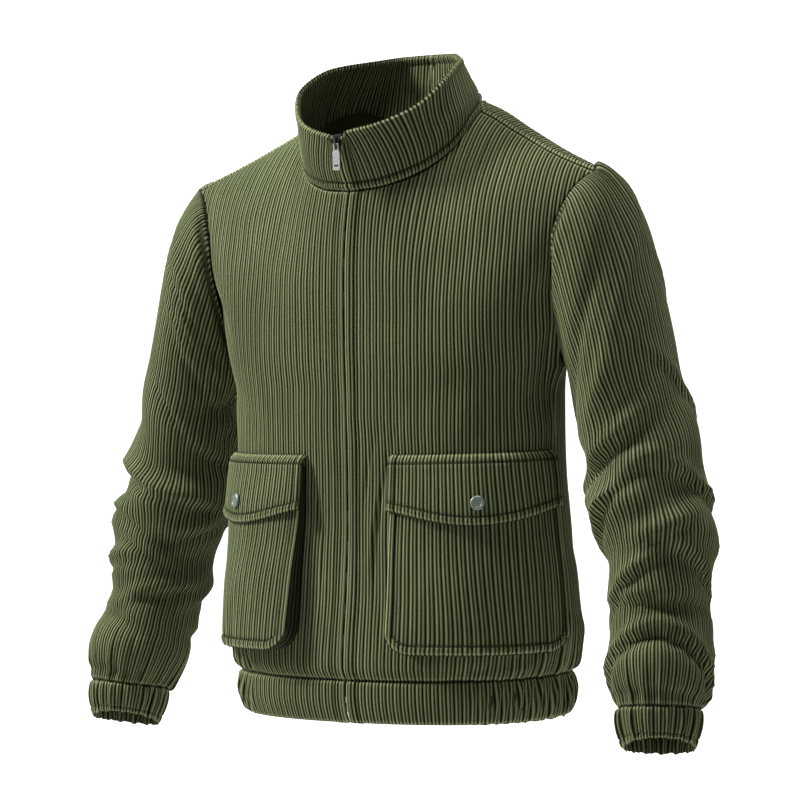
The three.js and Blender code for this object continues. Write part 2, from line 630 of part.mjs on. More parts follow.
// Hem band, open at the zip. Four stations make one gather.
{
  const patch = new Patch();
  const rows = [0, 0.5, 1];
  const stations = range(hem.flatSteps).map((t) => ({ face: "front", s: mix(frontGap / 2, hem.flatTo, t) }));
  const gathered = sideLength.front - hem.flatTo;
  const frontCount = hem.gathers;
  range(frontCount).slice(1, -1).forEach((t) => {
    stations.push({ face: "front", s: mix(hem.flatTo, sideLength.front, t) });
  });
  const backCount = Math.round(sideLength.back / (gathered / frontCount));
  range(backCount).forEach((t) => stations.push({ face: "back", s: sideLength.back * (1 - t) }));
  const mirrored = [...stations].reverse().slice(1).map((q) => ({ ...q, mirror: true }));
  const whole = [...stations, ...mirrored];
  const place = (k, t, inset) => {
    const { face, s, mirror } = whole[k];
    const p = sectionPoint(face, hemZ, s);
    const sign = face === "front" ? -1 : 1;
    const flat = v3(
      signedPower(p.x / along(bodyLevels, "z", "half", hemZ), sectionPower - 1),
      sign * signedPower(p.depth / along(bodyLevels, "z", face, hemZ), sectionPower - 1),
      0,
    ).normalize();
    const share = face === "back" ? 1 : smooth((s - hem.flatTo) / hem.blend);
    const shape = Math.sin(Math.PI * t);
    const count = mirror ? whole.length - 1 - k : k;
    const wave = hem.depth * share * shape ** 0.6 * Math.cos(count * Math.PI / 2);
    const outward = hem.belly * shape - hem.tuck * t * t + wave - inset;
    const point = v3(p.x, sign * p.depth, hemZ - seamGap - hem.height * t).addScaledVector(flat, outward);
    return mirror ? mirrorX(point) : point;
  };
  const columns = whole.map((_, k) => k);
  const ids = patch.grid(rows, columns, (k, t) => place(k, t, 0), true);
  const inner = [];
  ids.forEach((line, i) => line.forEach((id, j) => { inner[id] = place(columns[j], rows[i], wall); }));
  addWall("hem_band", patch, inner, cloth);
  const last = columns.length - 1;
  const hemRows = {
    left: ids.map((row) => [inner[row[0]], inner[row[1]]]).reverse(),
    right: ids.map((row) => [inner[row[last]], inner[row[last - 1]]]).reverse(),
  };
  for (const word of ["left", "right"]) {
    const { inner: wallInner, edges } = panels[`front_${word}`];
    zipRows[word].unshift(...hemRows[word], ...edges[word].zip.map((row) => row.map((id) => wallInner[id])));
  }
}

// Solid between a front and a back grid of points.
function addSlab(name, front, back, material) {
  const patch = new Patch();
  const rows = front.map((_, i) => i);
  const columns = front[0].map((_, j) => j);
  const ids = patch.grid(rows, columns, (j, i) => front[i][j]);
  const inner = [];
  ids.forEach((line, i) => line.forEach((id, j) => { inner[id] = back[i][j]; }));
  const mid = patch.normals().reduce((sum, n, i) => sum + n.dot(inner[i].clone().sub(patch.points[i])), 0);
  if (mid > 0) patch.faces = patch.faces.map(([a, b, c]) => [a, c, b]);
  return addWall(name, patch, inner, material);
}

// A point of the left front by wale and height, a distance off its outer face.
function onFront(s, z, off) {
  const at = (ds, dz) => bodyPoint("front", s + ds, (z + dz - chestZ) / (chestZ - hemZ));
  const across = at(1, 0).sub(at(-1, 0));
  const up = at(0, 1).sub(at(0, -1));
  const out = across.cross(up).normalize();
  return at(0, 0).addScaledVector(out, off);
}

// Pockets, flaps and snaps.
const pocketShare = (s) => clamp01((s - pocket.inner) / (pocket.outer - pocket.inner));
const pocketBelly = (z, s) => pocket.belly * Math.sin(Math.PI * pocketShare(s) ** pocket.bellySkew)
  * smooth((pocket.top - z) / pocket.bellyFrom)
  * (1 - pocket.bellyEnd * smooth((pocket.bottom + pocket.bellyTo - z) / pocket.bellyTo));
const pocketLift = (z, s) => pocketBelly(z, s) + mix(pocket.liftTop,
  mix(pocket.liftBottom, pocket.liftSide, smooth(pocketShare(s))),
  smooth((pocket.top - z) / (pocket.top - pocket.bottom)));
function pocketFloor(s) {
  const near = Math.min(s - pocket.inner, pocket.outer - s);
  const into = Math.max(0, pocket.corner - near);
  return pocket.bottom + pocket.corner - Math.sqrt(Math.max(0, pocket.corner ** 2 - into ** 2));
}
const flapShare = (s) => clamp01((s - flap.inner) / (flap.outer - flap.inner));
const flapEdge = (s) => mix(flap.edge, flap.tip, Math.sin(Math.PI * flapShare(s)) ** flap.point);
const flapLift = (z, s) => 2 * seamGap + flap.wall + (z > flap.bend
  ? mix(0, pocket.liftTop + seamGap, smooth((flap.top - z) / (flap.top - flap.bend)))
  : pocketLift(Math.min(z, pocket.top), s) + seamGap + flap.away * smooth((flap.bend - z) / flap.awayOver));

for (const word of ["right", "left"]) {
  const finish = (p) => (word === "right" ? mirrorX(p) : p);
  const flip = word === "right";

  const patch = new Patch();
  const corner = [0, 0.04, 0.16, 0.4, 0.7, 1].map((t) => t * pocket.corner);
  const middle = range(7).slice(1, -1)
    .map((t) => mix(pocket.inner + pocket.corner, pocket.outer - pocket.corner, t));
  const columns = [
    ...corner.map((d) => pocket.inner + d), ...middle, ...[...corner].reverse().map((d) => pocket.outer - d),
  ];
  const face = (s, t) => {
    const z = mix(pocket.top, pocketFloor(s), t);
    return finish(onFront(s, z, pocketLift(z, s)));
  };
  const faceRows = range(7);
  const ids = patch.grid([...faceRows].reverse(), columns, face, flip);
  const lastColumn = columns.length - 1;
  const lastRow = ids.length - 1;
  const outline = [
    ...[...ids].reverse().map((line, i) => ({ id: line[0], s: columns[0], t: i / lastRow })),
    ...ids[0].map((id, j) => ({ id, s: columns[j], t: 1 })).slice(1, -1),
    ...ids.map((line, i) => ({ id: line[lastColumn], s: columns[lastColumn], t: 1 - i / lastRow })),
  ];
  const base = outline.map(({ s, t }) => ({ s, z: mix(pocket.top, pocketFloor(s), t) }));
  const inward = outline.map((_, k) => {
    const before = base[Math.max(k - 1, 0)];
    const after = base[Math.min(k + 1, base.length - 1)];
    const ds = after.s - before.s;
    const dz = after.z - before.z;
    const size = Math.hypot(ds, dz) || 1;
    return { s: -dz / size, z: ds / size };
  });
  const gussetRow = (depth, lift) => base.map(({ s, z }, k) => {
    const off = lift(z, s);
    return patch.add(finish(onFront(s + inward[k].s * depth, z + inward[k].z * depth, off)));
  });
  const fold = gussetRow(pocket.bellows, (z, s) => pocketLift(z, s) * 0.5);
  const foot = gussetRow(0, () => seamGap);
  const rim = outline.map(({ id }) => id);
  for (const [upper, lower] of [[rim, fold], [fold, foot]]) {
    for (let k = 0; k + 1 < rim.length; k += 1) {
      const q = [upper[k], lower[k], lower[k + 1], upper[k + 1]];
      if (flip) q.reverse();
      patch.quad(...q);
    }
  }
  const normals = patch.normals();
  const inner = patch.points.map((p, i) => p.clone().addScaledVector(normals[i], -pocket.wall));
  foot.forEach((id, k) => {
    const s = base[k].s + inward[k].s * pocket.wall;
    const z = base[k].z + inward[k].z * pocket.wall;
    inner[id] = finish(onFront(s, z, seamGap));
  });
  addWall(`pocket_${word}`, patch, inner, cloth);

  const flapColumns = range(14).map((t) => mix(flap.inner, flap.outer, t));
  const flapRows = [0, 0.35, 0.7, 1, 1.33, 1.66, 2];
  const flapZ = (s, t) => (t <= 1 ? mix(flap.top, flap.bend, t) : mix(flap.bend, flapEdge(s), t - 1));
  const flapAt = (off) => flapRows.map((t) => flapColumns.map((s) => {
    const z = flapZ(s, t);
    return finish(onFront(s, z, flapLift(z, s) - off));
  }));
  addSlab(`flap_${word}`, flapAt(0), flapAt(flap.wall), cloth);

  const centre = finish(onFront(snap.s, snap.z, flapLift(snap.z, snap.s)));
  const flapFace = (ds, dz) => {
    const s = snap.s + ds;
    const z = snap.z + dz;
    return finish(onFront(s, z, flapLift(z, s)));
  };
  const outward = flapFace(snap.radius, 0).sub(flapFace(-snap.radius, 0))
    .cross(flapFace(0, snap.radius).sub(flapFace(0, -snap.radius))).normalize();
  if (outward.y > 0) outward.negate();
  const profile = snapProfile.map(({ r, h }) => new THREE.Vector2(r * snap.radius, h * snap.height));
  const cap = new THREE.Mesh(new THREE.LatheGeometry(profile, snap.sides), snapPaint);
  cap.name = `snap_${word}`;
  cap.quaternion.setFromUnitVectors(v3(0, 1, 0), outward);
  cap.position.copy(centre).addScaledVector(outward, snap.clear);
  root.add(cap);
}

// Zip: tapes and closed chain behind the front edges.
function behind(rows, i, share, off) {
  const [a, b] = rows[i];
  const below = rows[Math.max(i - 1, 0)][0];
  const above = rows[Math.min(i + 1, rows.length - 1)][0];
  const across = b.clone().sub(a).normalize();
  const up = above.clone().sub(below).normalize();
  const back = up.clone().cross(across).normalize();
  if (back.y < 0) back.negate();
  const x = Math.abs(b.x) - Math.abs(a.x);
  return a.clone().lerp(b, (share - Math.abs(a.x)) / x).addScaledVector(back, off);
}
const sliderFoot = slider.z - slider.halfHeight;
for (const word of ["right", "left"]) {
  const rows = zipRows[word];
  const span = (off) => rows.map((row, i) => {
    const from = row[0].z > sliderFoot - zip.sliderRoom ? slider.topHalf + seamGap * 2 : zip.tapeFrom;
    return [behind(rows, i, from, off), behind(rows, i, zip.tapeTo, off)];
  });
  addSlab(`zip_tape_${word}`, span(zip.clear), span(zip.clear + zip.tapeWall), tapeCloth);
}
{
  const rows = zipRows.left.filter((row) => row[0].z < sliderFoot - 1);
  const span = (off) => rows.map((row, i) => {
    const p = behind(rows, i, zip.chainHalf, off);
    return [v3(-zip.chainHalf, p.y, p.z), v3(zip.chainHalf, p.y, p.z)];
  });
  addSlab("zip_chain", span(zip.clear), span(zip.clear + zip.chainWall), darkMetal);
}

// Slider and pull, in a frame at the collar's inner face: x across, y towards the wearer, z up the collar.
{
  const rows = zipRows.left.map((row) => row[0]);
  const k = rows.findIndex((p, i) => i > 0 && p.z >= slider.z && rows[i - 1].z < slider.z);
  const share = (slider.z - rows[k - 1].z) / (rows[k].z - rows[k - 1].z);
  const seat = v3(0, mix(rows[k - 1].y, rows[k].y, share), slider.z);
  const lean = slider.lean * Math.PI / 180;
  const toWorld = new THREE.Matrix4().makeRotationX(lean).setPosition(seat);
  const upright = (shape, y, depth) => shape.extrude(depth).rotate([90, 0, 0]).translate([0, y + depth, 0]);
  const addSolid = (name, solid, matrix, material) => {
    const { vertProperties, triVerts } = solid.getMesh();
    const geometry = new THREE.BufferGeometry();
    geometry.setAttribute("position", new THREE.BufferAttribute(new Float32Array(vertProperties), 3));
    geometry.setIndex([...triVerts]);
    geometry.applyMatrix4(matrix);
    const mesh = new THREE.Mesh(geometry, material);
    mesh.name = name;
    root.add(mesh);
  };
  const box = (halfX, fromY, toY, fromZ, toZ) => Manifold.cube([2 * halfX, toY - fromY, toZ - fromZ])
    .translate([-halfX, fromY, fromZ]);

  const { topHalf, footHalf, halfHeight, round, bridgeHalf, bridgeWall, bridgeInner } = slider;
  const outline = CrossSection.ofPolygons([[
    [-footHalf + round, -halfHeight + round], [footHalf - round, -halfHeight + round],
    [topHalf - round, halfHeight - round], [-topHalf + round, halfHeight - round],
  ]]).offset(round, "Round", 2, 16);
  const bridgeBack = -(collarWall + zip.clear + slider.room);
  const outer = bridgeInner + bridgeWall;
  const bridge = box(bridgeHalf, bridgeBack - bridgeWall, zip.clear + slider.wall / 2, -outer, outer)
    .subtract(box(bridgeHalf + 1, bridgeBack, zip.clear, -bridgeInner, bridgeInner));
  addSolid("zip_slider", upright(outline, zip.clear, slider.wall).add(bridge), toWorld, darkMetal);

  const hinge = v3(0, bridgeBack + slider.room / 2, pull.rest + pull.bar / 2 - bridgeInner);
  hinge.applyMatrix4(toWorld);
  const bar = (half, from, to) => CrossSection.ofPolygons([
    [[-half, -to], [half, -to], [half, -from], [-half, -from]],
  ]);
  const plate = bar(pull.plateHalf - pull.round, pull.plateFrom + pull.round, pull.plateTo - pull.round)
    .offset(pull.round, "Round", 2, 20);
  const arms = bar(pull.armHalf, -pull.bar / 2, pull.plateFrom + pull.round);
  const cut = bar(pull.windowHalf, pull.bar / 2, pull.windowTo)
    .add(bar(pull.slotHalf, pull.slotFrom, pull.slotTo));
  const tab = upright(plate.add(arms).subtract(cut), -pull.wall / 2, pull.wall);
  addSolid("zip_pull", tab, new THREE.Matrix4().setPosition(hinge), silver);
}

export default root;
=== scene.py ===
import math
import bpy
import numpy as np
from mathutils import Matrix, Vector


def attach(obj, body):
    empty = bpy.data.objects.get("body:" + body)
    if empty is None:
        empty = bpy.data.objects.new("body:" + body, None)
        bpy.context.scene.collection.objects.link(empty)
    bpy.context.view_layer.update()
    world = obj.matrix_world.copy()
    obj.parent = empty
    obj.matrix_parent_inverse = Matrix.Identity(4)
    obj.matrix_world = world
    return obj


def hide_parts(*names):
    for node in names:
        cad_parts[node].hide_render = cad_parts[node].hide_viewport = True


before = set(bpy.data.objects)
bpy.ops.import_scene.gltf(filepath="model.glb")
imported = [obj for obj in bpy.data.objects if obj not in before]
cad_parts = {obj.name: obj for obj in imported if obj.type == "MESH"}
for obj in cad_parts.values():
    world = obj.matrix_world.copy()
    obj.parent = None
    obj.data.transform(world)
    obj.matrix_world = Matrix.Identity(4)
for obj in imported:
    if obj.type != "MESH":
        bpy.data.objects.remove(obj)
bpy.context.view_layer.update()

print("frame loaded:", len(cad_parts), "nodes")

# Lengths are in millimetres here and become metres where a mesh is made.
seamGap = 0.3
frontGap = 0.8

body = {
    "hemZ": -592, "chestZ": -272, "sectionPower": 2.3, "wall": 2.2,
    "levels": {
        "z": [-592, -578, -550, -500, -440, -360, -300, -272, -210, -150, -100, -40],
        "half": [194, 201, 205, 203, 197, 193, 194, 197, 212, 229, 244, 258],
        "front": [119, 124, 121, 113, 106, 102, 101, 101, 100, 99, 97, 90],
        "back": [97, 102, 106, 105, 102, 101, 103, 106, 108, 108, 106, 102],
    },
    "crest": {
        "s": [0, 50, 106, 160, 215, 262], "x": [0, 50, 101, 153, 205, 251], "y": [60, 60, 55, 40, 23, 8],
        "z": [26, 21, 5, -22, -48, -67], "power": [3.0, 2.5, 2.0, 2.05, 2.2, 2.3],
    },
    "crestLean": 3, "shoulderSeam": 0.86, "seamHalf": 0.0011,
    "frontNeck": {"s": [0, 28, 52, 72, 88, 98, 103.5, 106], "z": [-82, -80, -74, -65, -53, -41, -28, -14]},
    "backNeck": {"s": [0, 30, 54, 70, 82, 93, 102, 106],
                 "rise": [0.68, 0.70, 0.76, 0.86, 0.96, 1.05, 1.11, 1.13]},
    "neckHalf": 106, "tipHalf": 262, "notchHalf": 226, "notchRise": {"front": 0.40, "back": 0.46},
    "armholeLower": 1.7, "armholeUpper": 0.85, "splitShare": 0.78,
    "flare": 10, "flareBelow": 0.11, "flareAbove": 0.25,
}
sides = (("right", -1), ("left", 1))

# Wide and narrow ribs in turn; place across one repeat, height, and the pile value that sets the colour there,
# low in the grooves as painted shade.
wale = {
    "repeat": 7.9, "closest": 0.22, "insideHeight": 0.8, "insidePile": 0.55,
    "place": [0, 0.06, 0.15, 0.29, 0.42, 0.5, 0.58, 0.70, 0.84, 0.94],
    "height": [-1.25, -0.72, -0.22, 0.0, -0.3, -0.85, -0.34, -0.06, -0.28, -0.78],
    "pile": [0.0, 0.30, 0.80, 1.0, 0.62, 0.16, 0.6, 0.93, 0.74, 0.28],
}
# Distances from a seam of the rows beside it, with a close group at the topstitching.
seamRows = [0, 0.8, 1.8, 3.4, 5.6, 7.8, 8.7, 9.3, 9.9, 10.8, 13]
rowStep = 7.0


def clamp01(t):
    return np.clip(t, 0.0, 1.0)


def smooth(t):
    c = clamp01(t)
    return c * c * (3 - 2 * c)


def mix(a, b, t):
    return a + (b - a) * t


def unit(v):
    return v / np.maximum(np.linalg.norm(v, axis=-1, keepdims=True), 1e-9)


def mirrored(p, normal, side):
    # pieces are worked out on the wearer's left
    return (p * [-1, 1, 1], normal * [-1, 1, 1]) if side < 0 else (p, normal)


def lengthAlong(p):
    # distance from the first point along a line of points
    return np.concatenate(([0], np.cumsum(np.linalg.norm(np.diff(p, axis=0), axis=1))))


def distanceDown(p):
    # distance of each point of a grid from its first row
    run = np.linalg.norm(np.diff(p, axis=0), axis=-1)
    return np.concatenate([np.zeros((1, run.shape[1])), np.cumsum(run, axis=0)])


def distanceUp(p):
    # distance of each point of a grid from its last row
    return distanceDown(p[::-1])[::-1]


def follow(table, key, column, at):
    # smooth curve through a table's rows, without overshoot
    x, y = np.array(table[key], float), np.array(table[column], float)
    if x[0] > x[-1]:
        x, y = x[::-1], y[::-1]
    at = np.clip(np.asarray(at, float), x[0], x[-1])
    steps = np.diff(x)
    slopes = np.diff(y) / steps
    tangents = np.concatenate(([slopes[0]], np.zeros(len(slopes) - 1), [slopes[-1]]))
    product = slopes[:-1] * slopes[1:]
    total = np.where(product > 0, slopes[:-1] + slopes[1:], 1.0)
    tangents[1:-1] = np.where(product > 0, 2 * product / total, 0.0)
    i = np.clip(np.searchsorted(x, at, side="right") - 1, 0, len(steps) - 1)
    t = (at - x[i]) / steps[i]
    return (y[i] * (2 * t**3 - 3 * t**2 + 1) + y[i + 1] * (3 * t**2 - 2 * t**3)
            + steps[i] * (tangents[i] * (t**3 - 2 * t**2 + t) + tangents[i + 1] * (t**3 - t**2)))


# body surface
sectionLevels = np.arange(-600.0, -19.0, 1.0)
sectionSide = np.arange(0.0, 360.0, 0.5)


def sectionTable(face):
    turns = np.linspace(0, math.pi / 2, 91)
    power = 2 / body["sectionPower"]
    half = follow(body["levels"], "z", "half", sectionLevels)
    depth = follow(body["levels"], "z", face, sectionLevels)
    rows, lengths = [], []
    for a, b in zip(half, depth):
        x, y = a * np.sin(turns) ** power, b * np.cos(turns) ** power
        length = np.concatenate(([0], np.cumsum(np.hypot(np.diff(x), np.diff(y)))))
        rows.append((np.interp(sectionSide, length, x), np.interp(sectionSide, length, y)))
        lengths.append(length[-1])
    return np.array([r[0] for r in rows]), np.array([r[1] for r in rows]), np.array(lengths)


sections = {face: sectionTable(face) for face in ("front", "back")}
sideLength = {face: float(np.interp(body["chestZ"], sectionLevels, sections[face][2])) for face in sections}


def sectionPoint(face, z, s):
    across, depth, lengths = sections[face]
    z, s = np.broadcast_arrays(np.asarray(z, float), np.asarray(s, float))
    level = np.clip((z - sectionLevels[0]), 0, len(sectionLevels) - 1.001)
    i = level.astype(int)
    ti = level - i
    whole = mix(lengths[i], lengths[i + 1], ti)
    target = np.minimum(np.where(z <= body["chestZ"], s / sideLength[face] * whole, s), whole)
    place = np.clip(target / 0.5, 0, len(sectionSide) - 1.001)
    j = place.astype(int)
    tj = place - j

    def pick(grid):
        return mix(mix(grid[i, j], grid[i, j + 1], tj), mix(grid[i + 1, j], grid[i + 1, j + 1], tj), ti)
    return pick(across), pick(depth)


def bodyPoint(face, s, rise):
    # by wale (distance from the centre line) and rise: -1 hem seam, 0 chest, 1 crest of the shoulder
    s, rise = np.broadcast_arrays(np.asarray(s, float), np.asarray(rise, float))
    sign = -1 if face == "front" else 1
    crest = body["crest"]
    atSide = smooth((s - body["notchHalf"]) / (sideLength[face] - body["notchHalf"]))
    lowZ = mix(body["chestZ"], body["hemZ"], np.maximum(-rise, 0))
    lowX, lowDepth = sectionPoint(face, lowZ, s)
    lowX = lowX + body["flare"] * atSide * clamp01(1 + rise / body["flareBelow"]) ** 2
    turn = np.maximum(rise, 0) * math.pi / 2
    power = 2 / follow(crest, "s", "power", s)
    lift = np.sin(turn) ** power
    reach = np.sign(np.cos(turn)) * np.abs(np.cos(turn)) ** power
    z = mix(body["chestZ"], follow(crest, "s", "z", s), lift)
    nearX, nearDepth = sectionPoint(face, z, s)
    farDepth = sectionPoint("back" if face == "front" else "front", z, s)[1]
    x = mix(nearX, follow(crest, "s", "x", s), lift ** body["crestLean"])
    x = x + body["flare"] * atSide * (1 - smooth(rise / body["flareAbove"]))
    foot = np.where(reach >= 0, sign * nearDepth, -sign * farDepth)
    y = mix(follow(crest, "s", "y", s), foot, np.abs(reach))
    low = rise <= 0
    return np.stack([np.where(low, lowX, x), np.where(low, sign * lowDepth, y), np.where(low, lowZ, z)], -1)


def riseOfHeight(s, z):
    lift = clamp01((z - body["chestZ"]) / (follow(body["crest"], "s", "z", s) - body["chestZ"]))
    return np.arcsin(lift ** (follow(body["crest"], "s", "power", s) / 2)) / (math.pi / 2)


def topRise(face, s):
    s = np.asarray(s, float)
    seam = body["shoulderSeam"] if face == "front" else 2 - body["shoulderSeam"]
    seam = seam - body["seamHalf"]
    if face == "front":
        neck = riseOfHeight(s, follow(body["frontNeck"], "s", "z", s))
    else:
        neck = follow(body["backNeck"], "s", "rise", s)
    return np.where(s >= body["neckHalf"], seam, np.minimum(neck, seam))


def armholeLower(face, s):
    t = (s - body["notchHalf"]) / (sideLength[face] - body["notchHalf"])
    return body["notchRise"][face] * (1 - clamp01(t)) ** body["armholeLower"]


def armholeUpper(face, s):
    t = (s - body["notchHalf"]) / (body["tipHalf"] - body["notchHalf"])
    return mix(body["notchRise"][face], topRise(face, body["tipHalf"]), clamp01(t) ** body["armholeUpper"])


def splitRise(face, s):
    return np.minimum(body["notchRise"][face], body["splitShare"] * topRise(face, s))


# Soft creases of the panels: side 1 is the wearer's left, -1 the right, 0 both. Place is by wale and height,
# slope is the rise across, depth is positive outward.
bodyCreases = [
    # face, side, s, z, slope, reach, width, depth
    ("front", 1, 40, -430, 9.0, 80, 3.6, -2.6), ("front", 1, 32, -445, 9.0, 70, 3.0, 1.4),
    ("front", 1, 24, -400, 8.0, 60, 2.8, -1.4), ("front", -1, 36, -440, 9.0, 70, 3.2, -1.8),
    ("front", 1, 208, -205, 1.10, 42, 13, -4.0), ("front", 1, 226, -232, 1.10, 40, 11, 3.0),
    ("front", 1, 245, -262, 0.85, 36, 11, -3.5), ("front", 1, 150, -150, 0.60, 70, 24, -2.2),
    ("front", 1, 190, -318, 0.50, 60, 15, -2.6), ("front", 1, 215, -344, 0.55, 50, 12, 1.8),
    ("front", 1, 120, -292, 0.25, 70, 18, -1.4), ("front", 1, 60, -210, -0.35, 60, 22, -1.2),
    ("front", 1, 30, -320, -0.15, 40, 16, 1.3), ("front", 1, 150, -581, 0.30, 45, 7, -2.4),
    ("front", 1, 200, -575, 0.45, 40, 7, 2.0), ("front", 1, 110, -583, 0.10, 36, 6, -1.6),
    ("front", -1, 212, -210, 1.15, 44, 13, -4.2), ("front", -1, 232, -240, 1.10, 40, 11, 3.0),
    ("front", -1, 160, -140, 0.70, 64, 22, -2.4), ("front", -1, 95, -165, 0.40, 60, 20, 1.5),
    ("front", -1, 180, -300, 0.45, 58, 14, -2.4), ("front", -1, 60, -286, 0.20, 52, 16, -1.3),
    ("front", -1, 34, -430, 0.10, 34, 18, -1.2), ("front", -1, 150, -580, 0.35, 42, 7, -2.2),
    ("back", 0, 30, -150, 0.25, 80, 22, -2.0), ("back", 1, 150, -190, 0.75, 75, 18, -3.4),
    ("back", 1, 185, -240, 0.80, 60, 14, 2.6), ("back", -1, 140, -200, 0.70, 70, 17, -3.2),
    ("back", -1, 190, -252, 0.85, 56, 13, 2.4), ("back", 1, 90, -300, 0.35, 90, 16, -2.6),
    ("back", -1, 110, -330, 0.40, 85, 17, -2.4), ("back", 1, 60, -400, 0.20, 100, 18, -2.0),
    ("back", -1, 70, -460, 0.15, 90, 15, 1.8), ("back", 1, 150, -480, 0.30, 80, 13, -2.2),
    ("back", -1, 160, -530, 0.35, 70, 11, -2.6), ("back", 1, 40, -560, 0.15, 70, 9, -2.2),
    ("back", 1, 200, -555, 0.45, 50, 10, 2.2),
]


creaseBow = 0.12
creaseMiddle = 0.4


def crease(s, z, shape, bow=0.0):
    # one soft fold, long across its slope
    atS, atZ, slope, reach, width, depth = shape
    size = math.hypot(1, slope)
    along = ((s - atS) + slope * (z - atZ)) / size
    across = ((z - atZ) - slope * (s - atS)) / size
    across = across + bow * reach * ((along / reach) ** 2 - creaseMiddle)
    return depth * np.exp(-(across / width) ** 2) * np.exp(-(along / reach) ** 2)


def creases(face, side, s, z):
    total = np.zeros(np.broadcast(s, z).shape)
    for owner, where, *shape in bodyCreases:
        if owner == face and where in (0, side):
            total = total + crease(s, z, shape, creaseBow)
    return total


# Pleats of gathered cloth: lengths of the wide and narrow ones, and how they vary along the seam.
pleats = {
    "wide": 21.0, "wideDrift": 1.1, "wideEvery": 67.0, "swell": 0.35, "swellEvery": 43.0,
    "narrow": 11.7, "narrowDrift": 0.8, "narrowEvery": 31.0, "narrowShare": 0.45,
    "fadePower": 1.6, "seamShare": 0.35,
}
# The body's pleats above the hem band, by depth, height and the wale where the front's begin.
bodyGathers = {
    "depth": 3.4, "height": 46, "close": 8, "from": 110, "fade": 30, "shift": {"front": 0, "back": 900},
}
# How far the ribs stray from straight, and how that fades out at the panel's borders.
wander = {
    "depth": 1.1, "turns": (11, 4.3), "widths": (27, 61), "frontFade": 22, "sideFade": 18, "notchFade": 16,
    "topFrom": 0.5, "topFade": 0.2, "hemFade": 0.06,
}
probe = {"wale": 0.7, "rise": 0.004}


def gatherWave(u):
    # u runs in millimetres along the seam
    drift = pleats["wideDrift"] * np.sin(u / pleats["wideEvery"])
    wide = np.cos(u / pleats["wide"] * 2 * math.pi + drift)
    drift = pleats["narrowDrift"] * np.sin(u / pleats["narrowEvery"])
    narrow = np.cos(u / pleats["narrow"] * 2 * math.pi + drift)
    swell = 1 - pleats["swell"] + pleats["swell"] * np.sin(u / pleats["swellEvery"] + 1.0)
    return wide * swell + pleats["narrowShare"] * narrow


def gatherFade(distance, height, close):
    # pleats are pressed flat in the seam, full just beyond it, and run out at their height
    pressed = pleats["seamShare"] + (1 - pleats["seamShare"]) * smooth(distance / close)
    return np.exp(-(distance / height) ** pleats["fadePower"]) * pressed


def ribShift(face, side, s, rise):
    first = np.sin(rise * wander["turns"][0] + s / wander["widths"][0])
    second = np.sin(rise * wander["turns"][1] - s / wander["widths"][1] + side)
    shift = wander["depth"] * first * second
    shift = shift * smooth(s / wander["frontFade"]) * smooth((sideLength[face] - s) / wander["sideFade"])
    shift = shift * smooth(np.abs(s - body["notchHalf"]) / wander["notchFade"])
    shift = shift * (1 - smooth((rise - wander["topFrom"]) / wander["topFade"]))
    return shift * smooth((rise + 1) / wander["hemFade"])


def bodySurface(face, side, s, rise):
    # outer face before its ribs, with the outward direction
    s, rise = np.broadcast_arrays(np.asarray(s, float), np.asarray(rise, float))
    s = s + ribShift(face, side, s, rise)
    p = bodyPoint(face, s, rise)
    along = bodyPoint(face, s + probe["wale"], rise) - bodyPoint(face, s - probe["wale"], rise)
    up = bodyPoint(face, s, rise + probe["rise"]) - bodyPoint(face, s, rise - probe["rise"])
    normal = unit(np.cross(along, up) * (1 if face == "front" else -1))
    share = smooth((s - bodyGathers["from"]) / bodyGathers["fade"]) if face == "front" else np.ones_like(s)
    gathers = bodyGathers["depth"] * share * gatherWave(s + bodyGathers["shift"][face])
    height = (rise + 1) * (body["chestZ"] - body["hemZ"])
    fade = gatherFade(height, bodyGathers["height"], bodyGathers["close"])
    lift = creases(face, side, s, p[..., 2]) + gathers * fade
    return mirrored(p + normal * lift[..., None], normal, side)


# mesh building
def waleColumns(first, last, extra=()):
    # columns at each rib's places between two wales, with the borders that a panel needs
    repeats = np.arange(math.floor(first / wale["repeat"]) - 1, math.ceil(last / wale["repeat"]) + 1)
    inner = ((repeats[:, None] + np.array(wale["place"])[None, :]) * wale["repeat"]).ravel()
    fixed = sorted({first, last, *[e for e in extra if first < e < last]})
    keep = [v for v in inner if first < v < last and min(abs(v - f) for f in fixed) > wale["closest"]]
    return np.array(sorted([*keep, *fixed]))


def ribs(u):
    # height of the ribs at a place across them, and their pile value, dark in the grooves as painted shade
    phase = np.mod(u / wale["repeat"], 1.0)
    place = np.array([*wale["place"], 1.0])
    height = np.interp(phase, place, [*wale["height"], wale["height"][0]])
    pile = np.interp(phase, place, [*wale["pile"], wale["pile"][0]])
    return height, pile


def seamShares(length, start=False, end=False, step=rowStep):
    # shares of a run of rows, closer together beside a seam at its start or end
    ends = [d for d in seamRows if d < length * 0.45]
    marks = {0.0, float(length)}
    low = high = 0.0
    if start:
        marks.update(ends)
        low = ends[-1]
    if end:
        marks.update(length - d for d in ends)
        high = ends[-1]
    count = max(1, round((length - low - high) / step))
    marks.update(low + (length - low - high) * i / count for i in range(count + 1))
    return np.array(sorted(marks)) / length


# The dark and stitchDark values are painted shade in the seam and along the topstitching.
seam = {
    "roll": 1.9, "rollWidth": 1.7, "allowance": 7.0, "allowanceEdge": 4, "stitchAt": 9.3, "stitchWidth": 1.05,
    "lightAt": 2.0, "lightWidth": 1.3, "dark": 1.6, "darkWidth": 0.9, "stitchDark": 1.3, "ribFade": 1.6,
    "underRun": 5.0, "underTuck": 2.2,
}


def stitchGroove(distance, at=None, depth=1.1):
    # the pull of a row of topstitching
    at = seam["stitchAt"] if at is None else at
    return -depth * np.exp(-((np.asarray(distance, float) - at) / seam["stitchWidth"]) ** 2)


